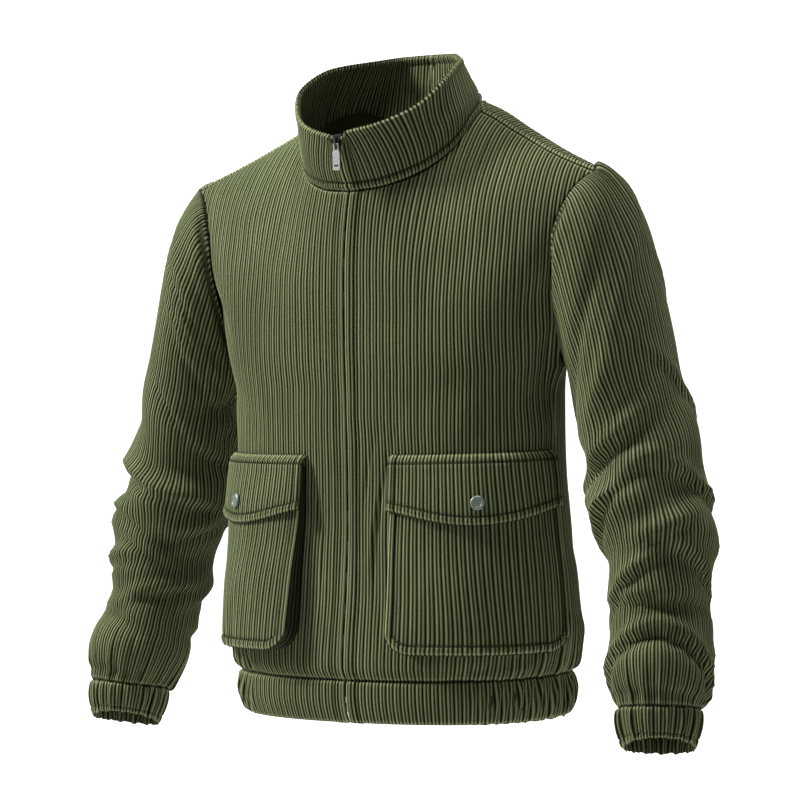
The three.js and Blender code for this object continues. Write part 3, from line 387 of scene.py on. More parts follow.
def seamDip(distance, stitched=False, raised=0.6, groove=1.1):
    # rolls the cloth in at a seam, over a raised allowance and a stitched groove behind it
    d = np.asarray(distance, float)
    lift = -seam["roll"] * np.exp(-(d / seam["rollWidth"]) ** 2)
    lift = lift + raised * (1 - smooth((d - seam["allowance"]) / seam["allowanceEdge"]))
    return lift + stitchGroove(d, depth=groove) if stitched else lift


def seamWearAndShade(distance, stitched=False):
    # lighter wear on the rolled edge, and painted shade in the seam and along the topstitching
    d = np.asarray(distance, float)
    wear = np.exp(-((d - seam["lightAt"]) / seam["lightWidth"]) ** 2)
    wear = wear - seam["dark"] * np.exp(-(d / seam["darkWidth"]) ** 2)
    along = seam["stitchDark"] * np.exp(-((d - seam["stitchAt"]) / seam["darkWidth"]) ** 2)
    return wear - along if stitched else wear


def ribFade(distance, share=0.75):
    # ribs run out towards a seam
    return 1 - share * np.exp(-(np.asarray(distance, float) / seam["ribFade"]) ** 2)


def withAllowance(p, normal, *grids):
    # a first row that runs on under the neighbouring piece, with the same values as the next row in each grid
    step = unit(p[0] - p[2])
    under = p[0] + step * seam["underRun"] - normal[0] * seam["underTuck"]
    return [np.concatenate([under[None], p]), *(np.concatenate([grid[:1], grid]) for grid in (normal, *grids))]


def addObject(name, data):
    made = bpy.data.objects.new(name, data)
    bpy.context.collection.objects.link(made)
    return made


def gridNormals(p, reference, wrap=False):
    along, up = np.gradient(p, axis=1), np.gradient(p, axis=0)
    if wrap:
        along[:, 0] = along[:, -1] = (p[:, 1] - p[:, -2]) / 2
    normal = unit(np.cross(along, up))
    if np.sum(normal * reference) < 0:
        normal = -normal
    return normal


def cleanFaces(quads, sources):
    # corners that fell together make a triangle or nothing
    same = quads == np.roll(quads, -1, axis=1)
    count = same.sum(axis=1)
    cross = (quads[:, 0] == quads[:, 2]) | (quads[:, 1] == quads[:, 3])
    whole = (count == 0) & ~cross
    part = (count == 1) & ~cross
    keep = ~same[part]
    return quads[whole], sources[whole], quads[part][keep].reshape(-1, 3), sources[part][keep].reshape(-1, 3)


def nearestColumns(columns, step=10):
    # the wide-set columns that the plain inner face keeps
    nearest = np.minimum(((np.arange(columns) + step // 2) // step) * step, columns - 1)
    nearest[-1] = columns - 1
    return nearest


class Cloth:
    # grids of outer points that share their borders, closed with an inner face and a rim
    def __init__(self, name, wall, ribbedInside=False):
        self.name, self.wall, self.ribbedInside = name, wall, ribbedInside
        self.point, self.normal, self.lift, self.pile, self.wear, self.thick = [], [], [], [], [], []
        self.uv, self.coarse, self.quads = [], [], []
        self.count = 0

    def add(self, p, normal, ribU, alongV, extraLift, wear, fade=1.0, nearest=None, thick=None):
        rows, columns = p.shape[:2]
        ids = self.count + np.arange(rows * columns).reshape(rows, columns)
        self.count += rows * columns
        ribU = np.broadcast_to(ribU, (rows, columns))
        height, pile = ribs(ribU)
        lift = height * fade + extraLift
        if nearest is None:
            nearest = np.arange(columns) if self.ribbedInside else nearestColumns(columns)
        self.point.append(p.reshape(-1, 3))
        self.normal.append(normal.reshape(-1, 3))
        self.lift.append(np.broadcast_to(lift, (rows, columns)).ravel())
        self.thick.append(np.broadcast_to(self.wall if thick is None else thick, (rows, columns)).ravel())
        self.pile.append(np.broadcast_to(pile, (rows, columns)).ravel())
        self.wear.append(np.broadcast_to(wear, (rows, columns)).ravel())
        alongV = np.broadcast_to(alongV, (rows, columns))
        self.uv.append(np.stack([ribU / wale["repeat"], alongV / wale["repeat"]], -1).reshape(-1, 2))
        self.coarse.append(ids[:, nearest].ravel())
        quads = np.stack([ids[:-1, :-1], ids[:-1, 1:], ids[1:, 1:], ids[1:, :-1]], -1).reshape(-1, 4)
        a, b, c = (p.reshape(-1, 3)[quads[:, k] - ids[0, 0]] for k in (0, 1, 3))
        facing = np.sum(np.cross(b - a, c - a) * normal.reshape(-1, 3)[quads[:, 0] - ids[0, 0]])
        self.quads.append(quads if facing > 0 else quads[:, ::-1])

    def build(self, material, facts, node):
        # facts hold the size of the flat cut, its area in square metres and how it is held
        point, normal = np.concatenate(self.point), np.concatenate(self.normal)
        lift, pile = np.concatenate(self.lift), np.concatenate(self.pile)
        wear, uv = np.concatenate(self.wear), np.concatenate(self.uv)
        coarse, quads = np.concatenate(self.coarse), np.concatenate(self.quads)
        keys = np.round(point * 40).astype(np.int64)
        _, first, same = np.unique(keys, axis=0, return_index=True, return_inverse=True)
        same = same.ravel()
        outerCount = len(first)
        outer = point[first] + normal[first] * lift[first][:, None]
        innerOf = same[coarse]  # the welded vertex that the inside of each point follows
        used, compact = np.unique(innerOf, return_inverse=True)
        compact = compact.ravel()
        source = first[used]
        depth = np.concatenate(self.thick)[source]
        if self.ribbedInside:
            depth = depth + wale["insideHeight"] * ribs(uv[source][:, 0] * wale["repeat"])[0]
        inner = point[source] - normal[source] * depth[:, None]
        vertices = np.concatenate([outer, inner]) * 0.001
        welded = same[quads]
        outerFours, outerFourUv, outerThrees, outerThreeUv = cleanFaces(welded, quads)
        inside = outerCount + compact[quads][:, ::-1]
        innerFours, innerFourUv, innerThrees, innerThreeUv = cleanFaces(inside, quads[:, ::-1])
        starts, ends = welded, np.roll(welded, -1, axis=1)
        sources = np.roll(quads, -1, axis=1)
        code = (starts.astype(np.int64) * outerCount + ends).ravel()
        back = (ends.astype(np.int64) * outerCount + starts).ravel()
        free = ~np.isin(back, code) & (starts.ravel() != ends.ravel())
        a, b = starts.ravel()[free], ends.ravel()[free]
        ua, ub = quads.ravel()[free], sources.ravel()[free]
        ia, ib = outerCount + compact[ua], outerCount + compact[ub]
        wide = ia != ib
        rimQuads = np.stack([b[wide], a[wide], ia[wide], ib[wide]], -1)
        rimQuadUv = np.stack([ub[wide], ua[wide], ua[wide], ub[wide]], -1)
        rimTris = np.stack([b[~wide], a[~wide], ia[~wide]], -1)
        rimTriUv = np.stack([ub[~wide], ua[~wide], ua[~wide]], -1)
        mesh = bpy.data.meshes.new(self.name)
        fours = np.concatenate([outerFours, innerFours, rimQuads])
        threes = np.concatenate([outerThrees, innerThrees, rimTris])
        mesh.vertices.add(len(vertices))
        mesh.vertices.foreach_set("co", vertices.ravel())
        loops = np.concatenate([fours.ravel(), threes.ravel()])
        loopSource = np.concatenate([outerFourUv.ravel(), innerFourUv.ravel(), rimQuadUv.ravel(),
                                     outerThreeUv.ravel(), innerThreeUv.ravel(), rimTriUv.ravel()])
        mesh.loops.add(len(loops))
        mesh.loops.foreach_set("vertex_index", loops.astype(np.int32))
        faceStarts = np.concatenate([np.arange(len(fours)) * 4, len(fours) * 4 + np.arange(len(threes)) * 3])
        mesh.polygons.add(len(faceStarts))
        mesh.polygons.foreach_set("loop_start", faceStarts.astype(np.int32))
        mesh.update(calc_edges=True)
        mesh.validate()
        uvLayer = mesh.uv_layers.new(name="cloth")
        if len(mesh.loops) == len(loopSource):
            uvLayer.data.foreach_set("uv", uv[loopSource].astype(np.float32).ravel())
        else:
            print(self.name, "faces were dropped")
        insidePile = pile[source] if self.ribbedInside else np.full(len(inner), wale["insidePile"])
        for label, values in (("pile", np.concatenate([pile[first], insidePile])),
                              ("wear", np.concatenate([wear[first], np.zeros(len(inner))]))):
            layer = mesh.attributes.new(label, "FLOAT", "POINT")
            layer.data.foreach_set("value", values.astype(np.float32))
        mesh.shade_smooth()
        mesh.materials.append(material)
        piece = addObject(self.name, mesh)
        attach(piece, "jacket")
        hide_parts(node)
        bothSides = sum(polygon.area for polygon in mesh.polygons)
        share = round(bothSides / 2 / facts["area"], 3)
        print("cloth", self.name, len(vertices), "points", share, "of its flat area")


# topstitching
thread = {"length": 2.9, "gap": 1.1, "radius": 0.42, "sink": 0.1, "dive": 0.6, "crown": 0.25, "first": 0.6}
threadRuns = []


def contour(field, level, p, normal, axis):
    # where a distance from an edge reaches the stitched one, once in each column (axis 0) or row (axis 1)
    if axis:
        field, p, normal = field.T, p.transpose(1, 0, 2), normal.transpose(1, 0, 2)
    points, normals = [], []
    for column in range(field.shape[1]):
        over = field[:, column] - level
        change = np.nonzero(over[:-1] * over[1:] < 0)[0]
        if len(change):
            i = change[0]
            t = over[i] / (over[i] - over[i + 1])
            points.append(mix(p[i, column], p[i + 1, column], t))
            normals.append(normal[i, column])
    return np.array(points), np.array(normals)


def sew(field, p, normal, lift, axis=0, level=None):
    level = seam["stitchAt"] if level is None else level
    points, normals = contour(field, level, p + normal * lift[..., None], normal, axis)
    if len(points) > 3:
        threadRuns.append((points, normals))


def makeThreads(name, material):
    # each stitch dives into the cloth at both ends, with a round middle
    vertices, faces = [], []
    dive, crown = thread["sink"] + thread["dive"], thread["sink"] - thread["crown"]
    for points, normals in threadRuns:
        span = lengthAlong(points)
        for start in np.arange(thread["first"], span[-1] - thread["length"], thread["length"] + thread["gap"]):
            at = start + thread["length"] * np.array([0.0, 0.2, 0.8, 1.0])
            middle = np.stack([np.interp(at, span, points[:, k]) for k in range(3)], -1)
            out = unit(np.stack([np.interp(at, span, normals[:, k]) for k in range(3)], -1))
            ahead = unit(middle[3] - middle[0])
            side = unit(np.cross(ahead, out))
            middle = middle - out * np.array([dive, crown, crown, dive])[:, None]
            base = len(vertices)
            vertices.append(middle[0])
            for k in (1, 2):
                for turn in (0, math.pi / 2, math.pi, 3 * math.pi / 2):
                    spoke = side[k] * math.cos(turn) + out[k] * math.sin(turn)
                    vertices.append(middle[k] + thread["radius"] * spoke)
            vertices.append(middle[3])
            for j in range(4):
                a, b = base + 1 + j, base + 1 + (j + 1) % 4
                faces.extend([(base, b, a), (a, b, b + 4, a + 4), (a + 4, b + 4, base + 9)])
    mesh = bpy.data.meshes.new(name)
    mesh.from_pydata([tuple(v) for v in np.array(vertices) * 0.001], [], faces)
    mesh.shade_smooth()
    mesh.materials.append(material)
    piece = addObject(name, mesh)
    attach(piece, "jacket")
    print("threads", len(faces), "faces")


# materials
def makeMaterial(name):
    material = bpy.data.materials.new(name)
    material.use_nodes = True
    nodes, links = material.node_tree.nodes, material.node_tree.links
    shader = nodes["Principled BSDF"]

    def node(kind, values=None, **settings):
        made = nodes.new(kind)
        for key, value in settings.items():
            setattr(made, key, value)
        setSockets(made, values or {})
        return made

    def join(*wires):
        for source, output, target, socket in wires:
            links.new(source.outputs[output], target.inputs[socket])
    return material, node, join, shader


def setSockets(made, values):
    for socket, value in values.items():
        made.inputs[socket].default_value = value


def ramp(node, stops):
    made = node("ShaderNodeValToRGB")
    while len(made.color_ramp.elements) < len(stops):
        made.color_ramp.elements.new(0.5)
    for element, (place, colour) in zip(made.color_ramp.elements, stops):
        element.position = place
        element.color = (*colour, 1)
    return made


def corduroy(name, look):
    material, node, join, shader = makeMaterial(name)
    pile = node("ShaderNodeAttribute", attribute_name="pile")
    wear = node("ShaderNodeAttribute", attribute_name="wear")
    coords = node("ShaderNodeUVMap", uv_map="cloth")

    def clothNoise(stretch, values):
        # a noise that lies in the cloth: the stretch is across the ribs and along them
        scale = node("ShaderNodeMapping", {"Scale": (*stretch, 1)})
        noise = node("ShaderNodeTexNoise", values)
        join((coords, "UV", scale, "Vector"), (scale, "Vector", noise, "Vector"))
        return noise

    def shifted(noise, size):
        # a noise as a swing of this size about nothing
        shift = node("ShaderNodeMath", {1: size, 2: -0.5 * size}, operation="MULTIPLY_ADD")
        join((noise, "Fac", shift, 0))
        return shift
    tufts = clothNoise(look["tuftStretch"], {"Scale": 3.0, "Detail": 6, "Roughness": 0.65})
    bands = clothNoise(look["bandStretch"], {"Scale": 1.0, "Detail": 2})
    fibres = clothNoise(look["fibreStretch"], {"Scale": 1.0, "Detail": 3})

    # pile height, broken up along the rib, lighter where worn at seam edges and with painted shade in the seams
    # and along the topstitching, gives the colour
    tuftShift, bandShift = shifted(tufts, look["tuft"]), shifted(bands, look["band"])
    uneven = node("ShaderNodeMath", operation="ADD")
    wornAndShaded = node("ShaderNodeMath", {1: look["edge"]}, operation="MULTIPLY_ADD")
    height = node("ShaderNodeMath", operation="ADD")
    join((tuftShift, 0, uneven, 0), (bandShift, 0, uneven, 1), (wear, "Fac", wornAndShaded, 0), (uneven, 0, wornAndShaded, 2),
         (pile, "Fac", height, 0), (wornAndShaded, 0, height, 1))
    # the near-black groove end of this ramp is painted shade in the grooves between the ribs
    colour = ramp(node, [(0.0, look["groove"]), (0.3, look["low"]), (0.72, look["mid"]), (1.0, look["crest"])])
    place = node("ShaderNodeTexCoord")
    patches = node("ShaderNodeTexNoise", {"Scale": 9.0, "Detail": 3})
    patchTint = ramp(node, [(0.3, look["darker"]), (0.7, look["lighter"])])
    tint = node("ShaderNodeMix", {"Factor": 1.0}, data_type="RGBA", blend_type="MULTIPLY")
    join((height, 0, colour, "Fac"), (place, "Object", patches, "Vector"), (patches, "Fac", patchTint, "Fac"),
         (colour, "Color", tint, 6), (patchTint, "Color", tint, 7), (tint, 2, shader, "Base Color"))

    relief = node("ShaderNodeMath", {1: look["fibre"]}, operation="MULTIPLY_ADD")
    bump = node("ShaderNodeBump", {"Strength": 0.55, "Distance": 0.0007})
    join((fibres, "Fac", relief, 0), (tufts, "Fac", relief, 2), (relief, 0, bump, "Height"),
         (bump, "Normal", shader, "Normal"))
    setSockets(shader, look["finish"])
    return material


clothLook = {
    "groove": (0.0016, 0.0021, 0.0007), "low": (0.0120, 0.0156, 0.0054), "mid": (0.073, 0.090, 0.035),
    "crest": (0.310, 0.354, 0.182), "darker": (0.86, 0.87, 0.84), "lighter": (1.08, 1.08, 1.06),
    "tuft": 0.74, "band": 0.22, "edge": 0.30, "fibre": 0.6,
    "tuftStretch": (9, 1.6), "bandStretch": (2.6, 0.1), "fibreStretch": (26, 7),
    "finish": {"Roughness": 0.94, "Specular IOR Level": 0.18, "Sheen Weight": 0.08, "Sheen Roughness": 0.35,
               "Sheen Tint": (0.72, 0.78, 0.6, 1)},
}
corduroyCloth = corduroy("corduroy", clothLook)

# The dark and stitchDark values are painted shade in the zip's gap and along the topstitching.
frontBand = {
    "stitch": 11.5, "groove": 1.5, "roll": 2.4, "rollWidth": 1.5, "raise": 0.9, "raiseTo": 9.5, "raiseEdge": 3,
    "light": 0.9, "lightAt": 2.4, "lightWidth": 1.6, "dark": 2.2, "stitchDark": 1.5, "darkWidth": 0.9,
    "ribsLeft": 0.35, "ribsFrom": 1.5, "ribsOver": 4.5,
}


def bandLift(centre):
    # the folded front edge beside the zip, with its row of topstitching
    lift = -frontBand["roll"] * np.exp(-(centre / frontBand["rollWidth"]) ** 2)
    lift = lift + frontBand["raise"] * (1 - smooth((centre - frontBand["raiseTo"]) / frontBand["raiseEdge"]))
    return lift + stitchGroove(centre, frontBand["stitch"], frontBand["groove"])


# lighter wear on the folded edge, with painted shade in the zip's gap and along the topstitching
def bandWearAndShade(centre):
    wear = frontBand["light"] * np.exp(-((centre - frontBand["lightAt"]) / frontBand["lightWidth"]) ** 2)
    wear = wear - frontBand["dark"] * np.exp(-(centre / frontBand["darkWidth"]) ** 2)
    along = (centre - frontBand["stitch"]) / frontBand["darkWidth"]
    return wear - frontBand["stitchDark"] * np.exp(-along**2)


def bandFade(centre):
    left = frontBand["ribsLeft"]
    return left + (1 - left) * smooth((centre - frontBand["ribsFrom"]) / frontBand["ribsOver"])


def withBand(centre, lift, wear, fade):
    return lift + bandLift(centre), wear + bandWearAndShade(centre), fade * bandFade(centre)


panels = {
    "front": {"flat": (0.32, 0.62), "area": 0.1735, "held": "hung", "topRaised": 0.3},
    "back": {"flat": (0.66, 0.70), "area": 0.375, "held": "hung", "topRaised": 1.0},
    "middleRows": 150, "topRows": 110, "alongRise": 300, "far": 99.0, "hemWearAndShade": 0.6,
}


def panelHalf(cloth, face, side, first):
    # one half of a front or back, in blocks below, beside and above the armhole's notch
    last = sideLength[face] - seamGap / 2
    shoulder = face == "back"
    columns = waleColumns(first, last, (body["neckHalf"], body["notchHalf"]))
    main = columns[columns <= body["notchHalf"]]
    beside = columns[columns >= body["notchHalf"]]
    tip = waleColumns(body["notchHalf"], body["tipHalf"])
    low = seamShares(body["chestZ"] - body["hemZ"], start=True)[:, None] - 1
    mid = seamShares(panels["middleRows"])[:, None]
    top = seamShares(panels["topRows"], end=True)[:, None]

    def block(s, rise, topDistance):
        s = np.broadcast_to(s, np.broadcast(s, rise).shape)
        rise = np.broadcast_to(rise, s.shape)
        p, normal = bodySurface(face, side, s, rise)
        hemDistance = (rise + 1) * (body["chestZ"] - body["hemZ"])
        sideDistance = np.where(rise <= 0, sideLength[face] - s, panels["far"])
        lift = seamDip(hemDistance, raised=0.2) + seamDip(sideDistance)
        lift = lift + seamDip(topDistance, stitched=shoulder, raised=panels[face]["topRaised"])
        wear = seamWearAndShade(hemDistance) * panels["hemWearAndShade"] + seamWearAndShade(sideDistance)
        wear = wear + seamWearAndShade(topDistance, stitched=shoulder)
        fade = ribFade(hemDistance) * ribFade(sideDistance) * ribFade(topDistance)
        if face == "front":
            lift, wear, fade = withBand(s - first, lift, wear, fade)
        cloth.add(p, normal, s, rise * panels["alongRise"], lift, wear, fade)
        if face == "front" and s[0, 0] <= first:
            sew(s - first, p, normal, lift, 1, frontBand["stitch"])
        if shoulder and np.ndim(topDistance):
            beyond = s[0] >= body["neckHalf"]
            sew(topDistance[:, beyond], p[:, beyond], normal[:, beyond], lift[:, beyond])

    def topBlock(s, rise):
        # a block that ends at the panel's upper edge
        block(s[None, :], rise, distanceUp(bodyPoint(face, np.broadcast_to(s, rise.shape), rise)))

    block(main[None, :], low, panels["far"])
    block(main[None, :], splitRise(face, main)[None, :] * mid, panels["far"])
    topBlock(main, mix(splitRise(face, main)[None, :], topRise(face, main)[None, :], top))
    block(beside[None, :], low, panels["far"])
    topBlock(beside, armholeLower(face, beside)[None, :] * mid)
    topBlock(tip, mix(armholeUpper(face, tip)[None, :], topRise(face, tip)[None, :], top))


for word, side in sides:
    cloth = Cloth(f"front_{word}_cloth", body["wall"])
    panelHalf(cloth, "front", side, frontGap / 2)
    cloth.build(corduroyCloth, panels["front"], f"front_{word}")
cloth = Cloth("back_cloth", body["wall"])
for word, side in sides:
    panelHalf(cloth, "back", side, 0.0)
cloth.build(corduroyCloth, panels["back"], "back")
print("body panels made")

# sleeves
sleeve = {
    "levels": {
        "z": [-60, -150, -260, -340, -400, -450, -500, -560, -616],
        "x": [219, 238, 266, 286, 298, 307, 316, 327, 334], "y": [16, 18, 15, 10, 6, -1, -10, -30, -51],
        "across": [56, 57, 55, 61, 61, 57, 52, 49, 42], "fore": [70, 71, 68, 66, 65, 61, 57, 53, 46],
    },
    "capHeight": 105, "capLate": 2.2, "capRound": 0.5, "cuffTop": -616, "mmPerDegree": 1.05, "foldsEnd": 12,
    "repeats": 47, "rows": 500, "flat": (0.42, 0.60), "area": 0.196, "held": "hung",
}
sleeveGathers = {"depth": 2.4, "scale": 1.07, "shift": 300, "height": 34, "close": 7}
# Folds of the sleeve: side 1 is the wearer's left, -1 the right, 0 both. Angle is 0 outside, 90 in front and
# 180 inside. Bow drops both ends, and under sets a hollow below a ridge.
sleeveFolds = [
    # side, z, angle, slope, bow, width, reach, depth, under
    (0, -330, 30, -0.5, 0, 20, 75, -6, 0), (0, -372, 150, 0.3, 0, 17, 80, -9, 0),
    (0, -398, 120, 0.4, 0, 20, 110, 8, 0), (0, -428, 60, -0.45, 0, 17, 80, -7, 0),
    (0, -452, 10, 0.2, 0, 20, 90, 6, 0), (0, -470, 160, 0.1, 0, 15, 70, -6, 0),
    (0, -496, 70, 0.35, 0, 17, 100, 5, 0), (0, -525, 20, -0.3, 0, 16, 90, -5, 0),
    (0, -585, 90, 0.05, 0, 22, 190, 7, 0), (1, -350, 98, -0.50, 4, 9, 58, 5.5, 0.9),
    (1, -322, 70, -0.75, 4, 10, 50, -3.6, 0), (1, -392, 14, 0.5, 4, 7, 40, 4.4, 0.8),
    (1, -414, 112, -0.85, 3, 7, 38, 5.0, 0.8), (1, -478, 12, 0.62, 5, 7, 46, 5.0, 0.8),
    (1, -447, 48, -0.3, -8, 7, 44, 4.0, 0.7), (1, -488, 88, -0.62, 4, 7, 42, 4.6, 0.7),
    (1, -518, 55, 0.0, -7, 6, 84, 4.4, 0.8), (1, -548, 55, 0.12, 42, 7, 84, 6.5, 1.2),
    (1, -300, -10, 0.9, 3, 8, 40, 3.0, 0.6), (1, -232, 92, -1.5, 0, 13, 70, -3.2, 0),
    (1, -205, 40, -1.7, 0, 14, 80, 2.6, 0), (1, -268, 60, -0.9, 0, 12, 60, 2.4, 0.4),
    (1, -370, 60, -0.3, 5, 8, 40, 3.0, 0.6), (-1, -386, 55, -0.25, 3, 7, 50, 5.5, 0.8),
    (-1, -431, 50, -0.2, 3, 7, 46, 5.0, 0.9), (-1, -486, 55, 0.3, 3, 8, 50, 5.0, 0.8),
    (-1, -400, 120, -0.22, -6, 8, 72, 4.6, 0.8), (-1, -313, 100, -1.05, 0, 3.5, 32, -2.2, 0),
    (-1, -300, 186, 0.1, 4, 10, 48, -8.0, 0), (-1, -275, 175, -0.5, 3, 9, 45, 4.5, 0),
    (-1, -440, 150, 0.35, -4, 7, 48, 4.2, 0.8), (-1, -462, 95, -0.35, 4, 7, 44, 4.0, 0.8),
    (-1, -512, 130, 0.4, 4, 7, 48, 4.0, 0.8), (-1, -545, 90, -0.2, 8, 7, 60, 4.2, 0.8),
    (-1, -190, 100, -1.1, 0, 8, 70, 2.6, 0.6), (-1, -222, 110, -1.1, 0, 8, 66, 2.8, 0.6),
    (-1, -252, 120, -1.1, 0, 8, 60, 2.8, 0.6), (-1, -345, 150, -0.4, 3, 8, 50, 3.4, 0.7),
    (0, -300, 215, 0.7, 0, 9, 56, -3.6, 0), (0, -350, 245, -0.5, 4, 8, 56, 4.0, 0.7),
    (0, -395, 225, 0.4, 4, 7, 56, 4.2, 0.8), (0, -440, 265, -0.3, 4, 7, 56, 4.0, 0.8),
    (0, -492, 235, 0.35, 4, 7, 54, 4.2, 0.8), (0, -545, 270, -0.2, 10, 7, 70, 4.4, 0.9),
    (0, -240, 285, 1.1, 0, 10, 60, 2.6, 0.4), (0, -420, 320, 0.4, 4, 7, 44, 3.6, 0.7),
]
folds = {"softness": 1.3, "strength": 1.35, "underAt": 1.25, "underWidth": 0.7}
# The sleeve's head by the armhole seam: how its wales spread, and a hollow with painted shade and a ridge
# between two angles.
sleeveHead = {
    "straight": 0.8, "sparse": 0.75, "across": 57, "fore": 70,
    "hollowAt": 9, "hollowWidth": 5, "hollow": -3.4, "shade": 0.9,
    "ridgeAt": 24, "ridgeWidth": 10, "ridge": 2.2, "from": 60, "fromOver": 30, "to": 172, "toOver": 20,
}
# How the sleeve's ribs stray, in degrees, between two heights.
sleeveSway = {
    "turn": 1.3, "length": 15.0, "round": 2.5, "low": -600, "lowFade": 60, "high": -300, "highFade": 120,
}


def armholeCurve(face):
    # from the underarm up to the shoulder tip, on the wearer's left
    low = np.linspace(sideLength[face] - seamGap / 2, body["notchHalf"], 120)
    high = np.linspace(body["notchHalf"], body["tipHalf"], 160)[1:]
    s = np.concatenate([low, high])
    rise = np.concatenate([armholeLower(face, low), armholeUpper(face, high)])
    p = bodyPoint(face, s, rise)
    length = lengthAlong(p)
    return p, length / length[-1]


def sleeveFrame(z):
    # centre of the sleeve at a height, with its outward, forward and downward directions
    levels = sleeve["levels"]

    def centre(h):
        return np.stack([follow(levels, "z", "x", h), follow(levels, "z", "y", h), h], -1)
    down = unit(centre(z - 4) - centre(z + 4))
    front = unit(np.array([0, -1.0, 0]) + down * down[..., 1:2])
    return centre(z), unit(np.cross(front, down)), front, down


def armholeWales(face):
    # wales run straight up the cap, so each ends where its own side of the sleeve meets the seam
    p, share = armholeCurve(face)
    centre, out, front, _ = sleeveFrame(p[:, 2])
    sign = 1 if face == "front" else -1
    ahead = np.sum((p - centre) * front, -1)
    across = np.sum((p - centre) * out, -1)
    turn = np.degrees(np.arctan2(sign * ahead / sleeveHead["fore"], across / sleeveHead["across"]))
    turn = np.where(turn < -90, 180, np.clip(turn, 0, 180))
    wales = np.maximum.accumulate(1 - turn / 180)
    wales = mix(share, (wales - wales[0]) / (wales[-1] - wales[0]), sleeveHead["straight"])
    density = np.maximum(np.gradient(wales, share), sleeveHead["sparse"])
    wales = np.concatenate(([0], np.cumsum((density[1:] + density[:-1]) / 2 * np.diff(share))))
    return p, share, wales / wales[-1]


armholes = {face: armholeWales(face) for face in ("front", "back")}


def armholeAt(angle):
    # 180 at the underarm, through the front to 0 at the shoulder tip, on to 360 round the back
    angle = np.mod(angle, 360)
    onFront = angle <= 180
    wanted = np.where(onFront, (180 - angle) / 180, (angle - 180) / 180)
    front, back = (
        np.stack([np.interp(np.interp(wanted, wales, share), share, p[:, k]) for k in range(3)], -1)
        for p, share, wales in (armholes["front"], armholes["back"]))
    return np.where(onFront[..., None], front, back)


def tubePoint(angle, z, side):
    levels = sleeve["levels"]
    centre, out, front, _ = sleeveFrame(z)
    turn = np.radians(angle)
    bump = np.zeros(z.shape)
    for where, atZ, atAngle, slope, bow, width, reach, depth, under in sleeveFolds:
        if where and where != side:
            continue
        span = (np.mod(angle - atAngle + 180, 360) - 180) * sleeve["mmPerDegree"]
        off = (z - atZ - slope * span + bow * (span / reach) ** 2) / (width * folds["softness"])
        profile = np.exp(-off**2) - under * np.exp(-((off + folds["underAt"]) / folds["underWidth"]) ** 2)
        bump = bump + folds["strength"] * depth * profile * np.exp(-(span / reach) ** 2)
    bump = bump * smooth((z - sleeve["cuffTop"]) / sleeve["foldsEnd"])
    across = follow(levels, "z", "across", z) + bump
    fore = follow(levels, "z", "fore", z) + bump
    return centre + out * (across * np.cos(turn))[..., None] + front * (fore * np.sin(turn))[..., None]


def sleevePoint(angle, t, side):
    angle, t = np.broadcast_arrays(np.asarray(angle, float), np.asarray(t, float))
    end = armholeAt(angle)
    z = mix(sleeve["cuffTop"], end[..., 2], t)
    sway = sleeveSway["round"] * np.sin(np.radians(angle) + side)
    sway = sleeveSway["turn"] * np.sin(z / sleeveSway["length"] + sway)
    sway = sway * smooth((z - sleeveSway["low"]) / sleeveSway["lowFade"])
    angle = angle + sway * (1 - smooth((z - sleeveSway["high"]) / sleeveSway["highFade"]))
    p = tubePoint(angle, z, side)
    share = clamp01(1 - (end[..., 2] - z) / sleeve["capHeight"])
    drawn = 1 - (1 - share ** sleeve["capLate"]) ** sleeve["capRound"]
    return p + (end - tubePoint(angle, end[..., 2], side)) * drawn[..., None]


def makeSleeve(word, side):
    around = sleeve["repeats"] * wale["repeat"]
    place = waleColumns(0.0, around)
    angle = place / around * 360 - 180
    rows = seamShares(sleeve["rows"], start=True, end=True)
    p = sleevePoint(angle[None, :], rows[:, None], side)
    fromTop, fromCuff = distanceUp(p), distanceDown(p)
    normal = gridNormals(p, p - p.mean(axis=1, keepdims=True), wrap=True)
    wave = gatherWave(place * sleeveGathers["scale"] + sleeveGathers["shift"] * side)[None, :]
    wave = sleeveGathers["depth"] * wave * gatherFade(fromCuff, sleeveGathers["height"], sleeveGathers["close"])
    p = p + normal * wave[..., None]
    head = sleeveHead
    inFront = smooth((angle - head["from"]) / head["fromOver"])
    inFront = inFront * (1 - smooth((angle - head["to"] + head["toOver"]) / head["toOver"]))
    hollow = np.exp(-((fromTop - head["hollowAt"]) / head["hollowWidth"]) ** 2)
    ridge = np.exp(-((fromTop - head["ridgeAt"]) / head["ridgeWidth"]) ** 2)
    headLift = (head["hollow"] * hollow + head["ridge"] * ridge) * inFront[None, :]
    lift = seamDip(fromTop, raised=0.5) + seamDip(fromCuff, raised=0.2) + headLift
    wear = seamWearAndShade(fromTop) + seamWearAndShade(fromCuff) * panels["hemWearAndShade"]
    # painted shade in the hollow beside the armhole seam
    wear = wear - head["shade"] * (hollow * inFront[None, :])
    fade = ribFade(fromTop) * ribFade(fromCuff)
    p, normal = mirrored(p, normal, side)
    cloth = Cloth(f"sleeve_{word}_cloth", body["wall"])
    cloth.add(p, normal, place[None, :], fromCuff, lift, wear, fade)
    cloth.build(corduroyCloth, sleeve, f"sleeve_{word}")


for word, side in sides:
    makeSleeve(word, side)
print("sleeves made")

# cuffs
cuff = {
    "height": 42, "narrow": 6, "belly": 1.6, "depth": 3.2, "gathers": 14, "swell": 0.6, "swellVaries": 0.3,
    "fineGathers": 29, "fineShare": 0.4, "fineDrift": 1.3,
    "raised": 10, "lowered": 2, "faces": {-1: 123, 1: 57}, "repeats": 35,
    "flat": (0.31, 0.043), "area": 0.0122, "held": "gathered",
}
bandShape = {"step": 4, "puff": 0.6, "raised": 0.2, "wear": 0.6, "rimFade": 0.6}


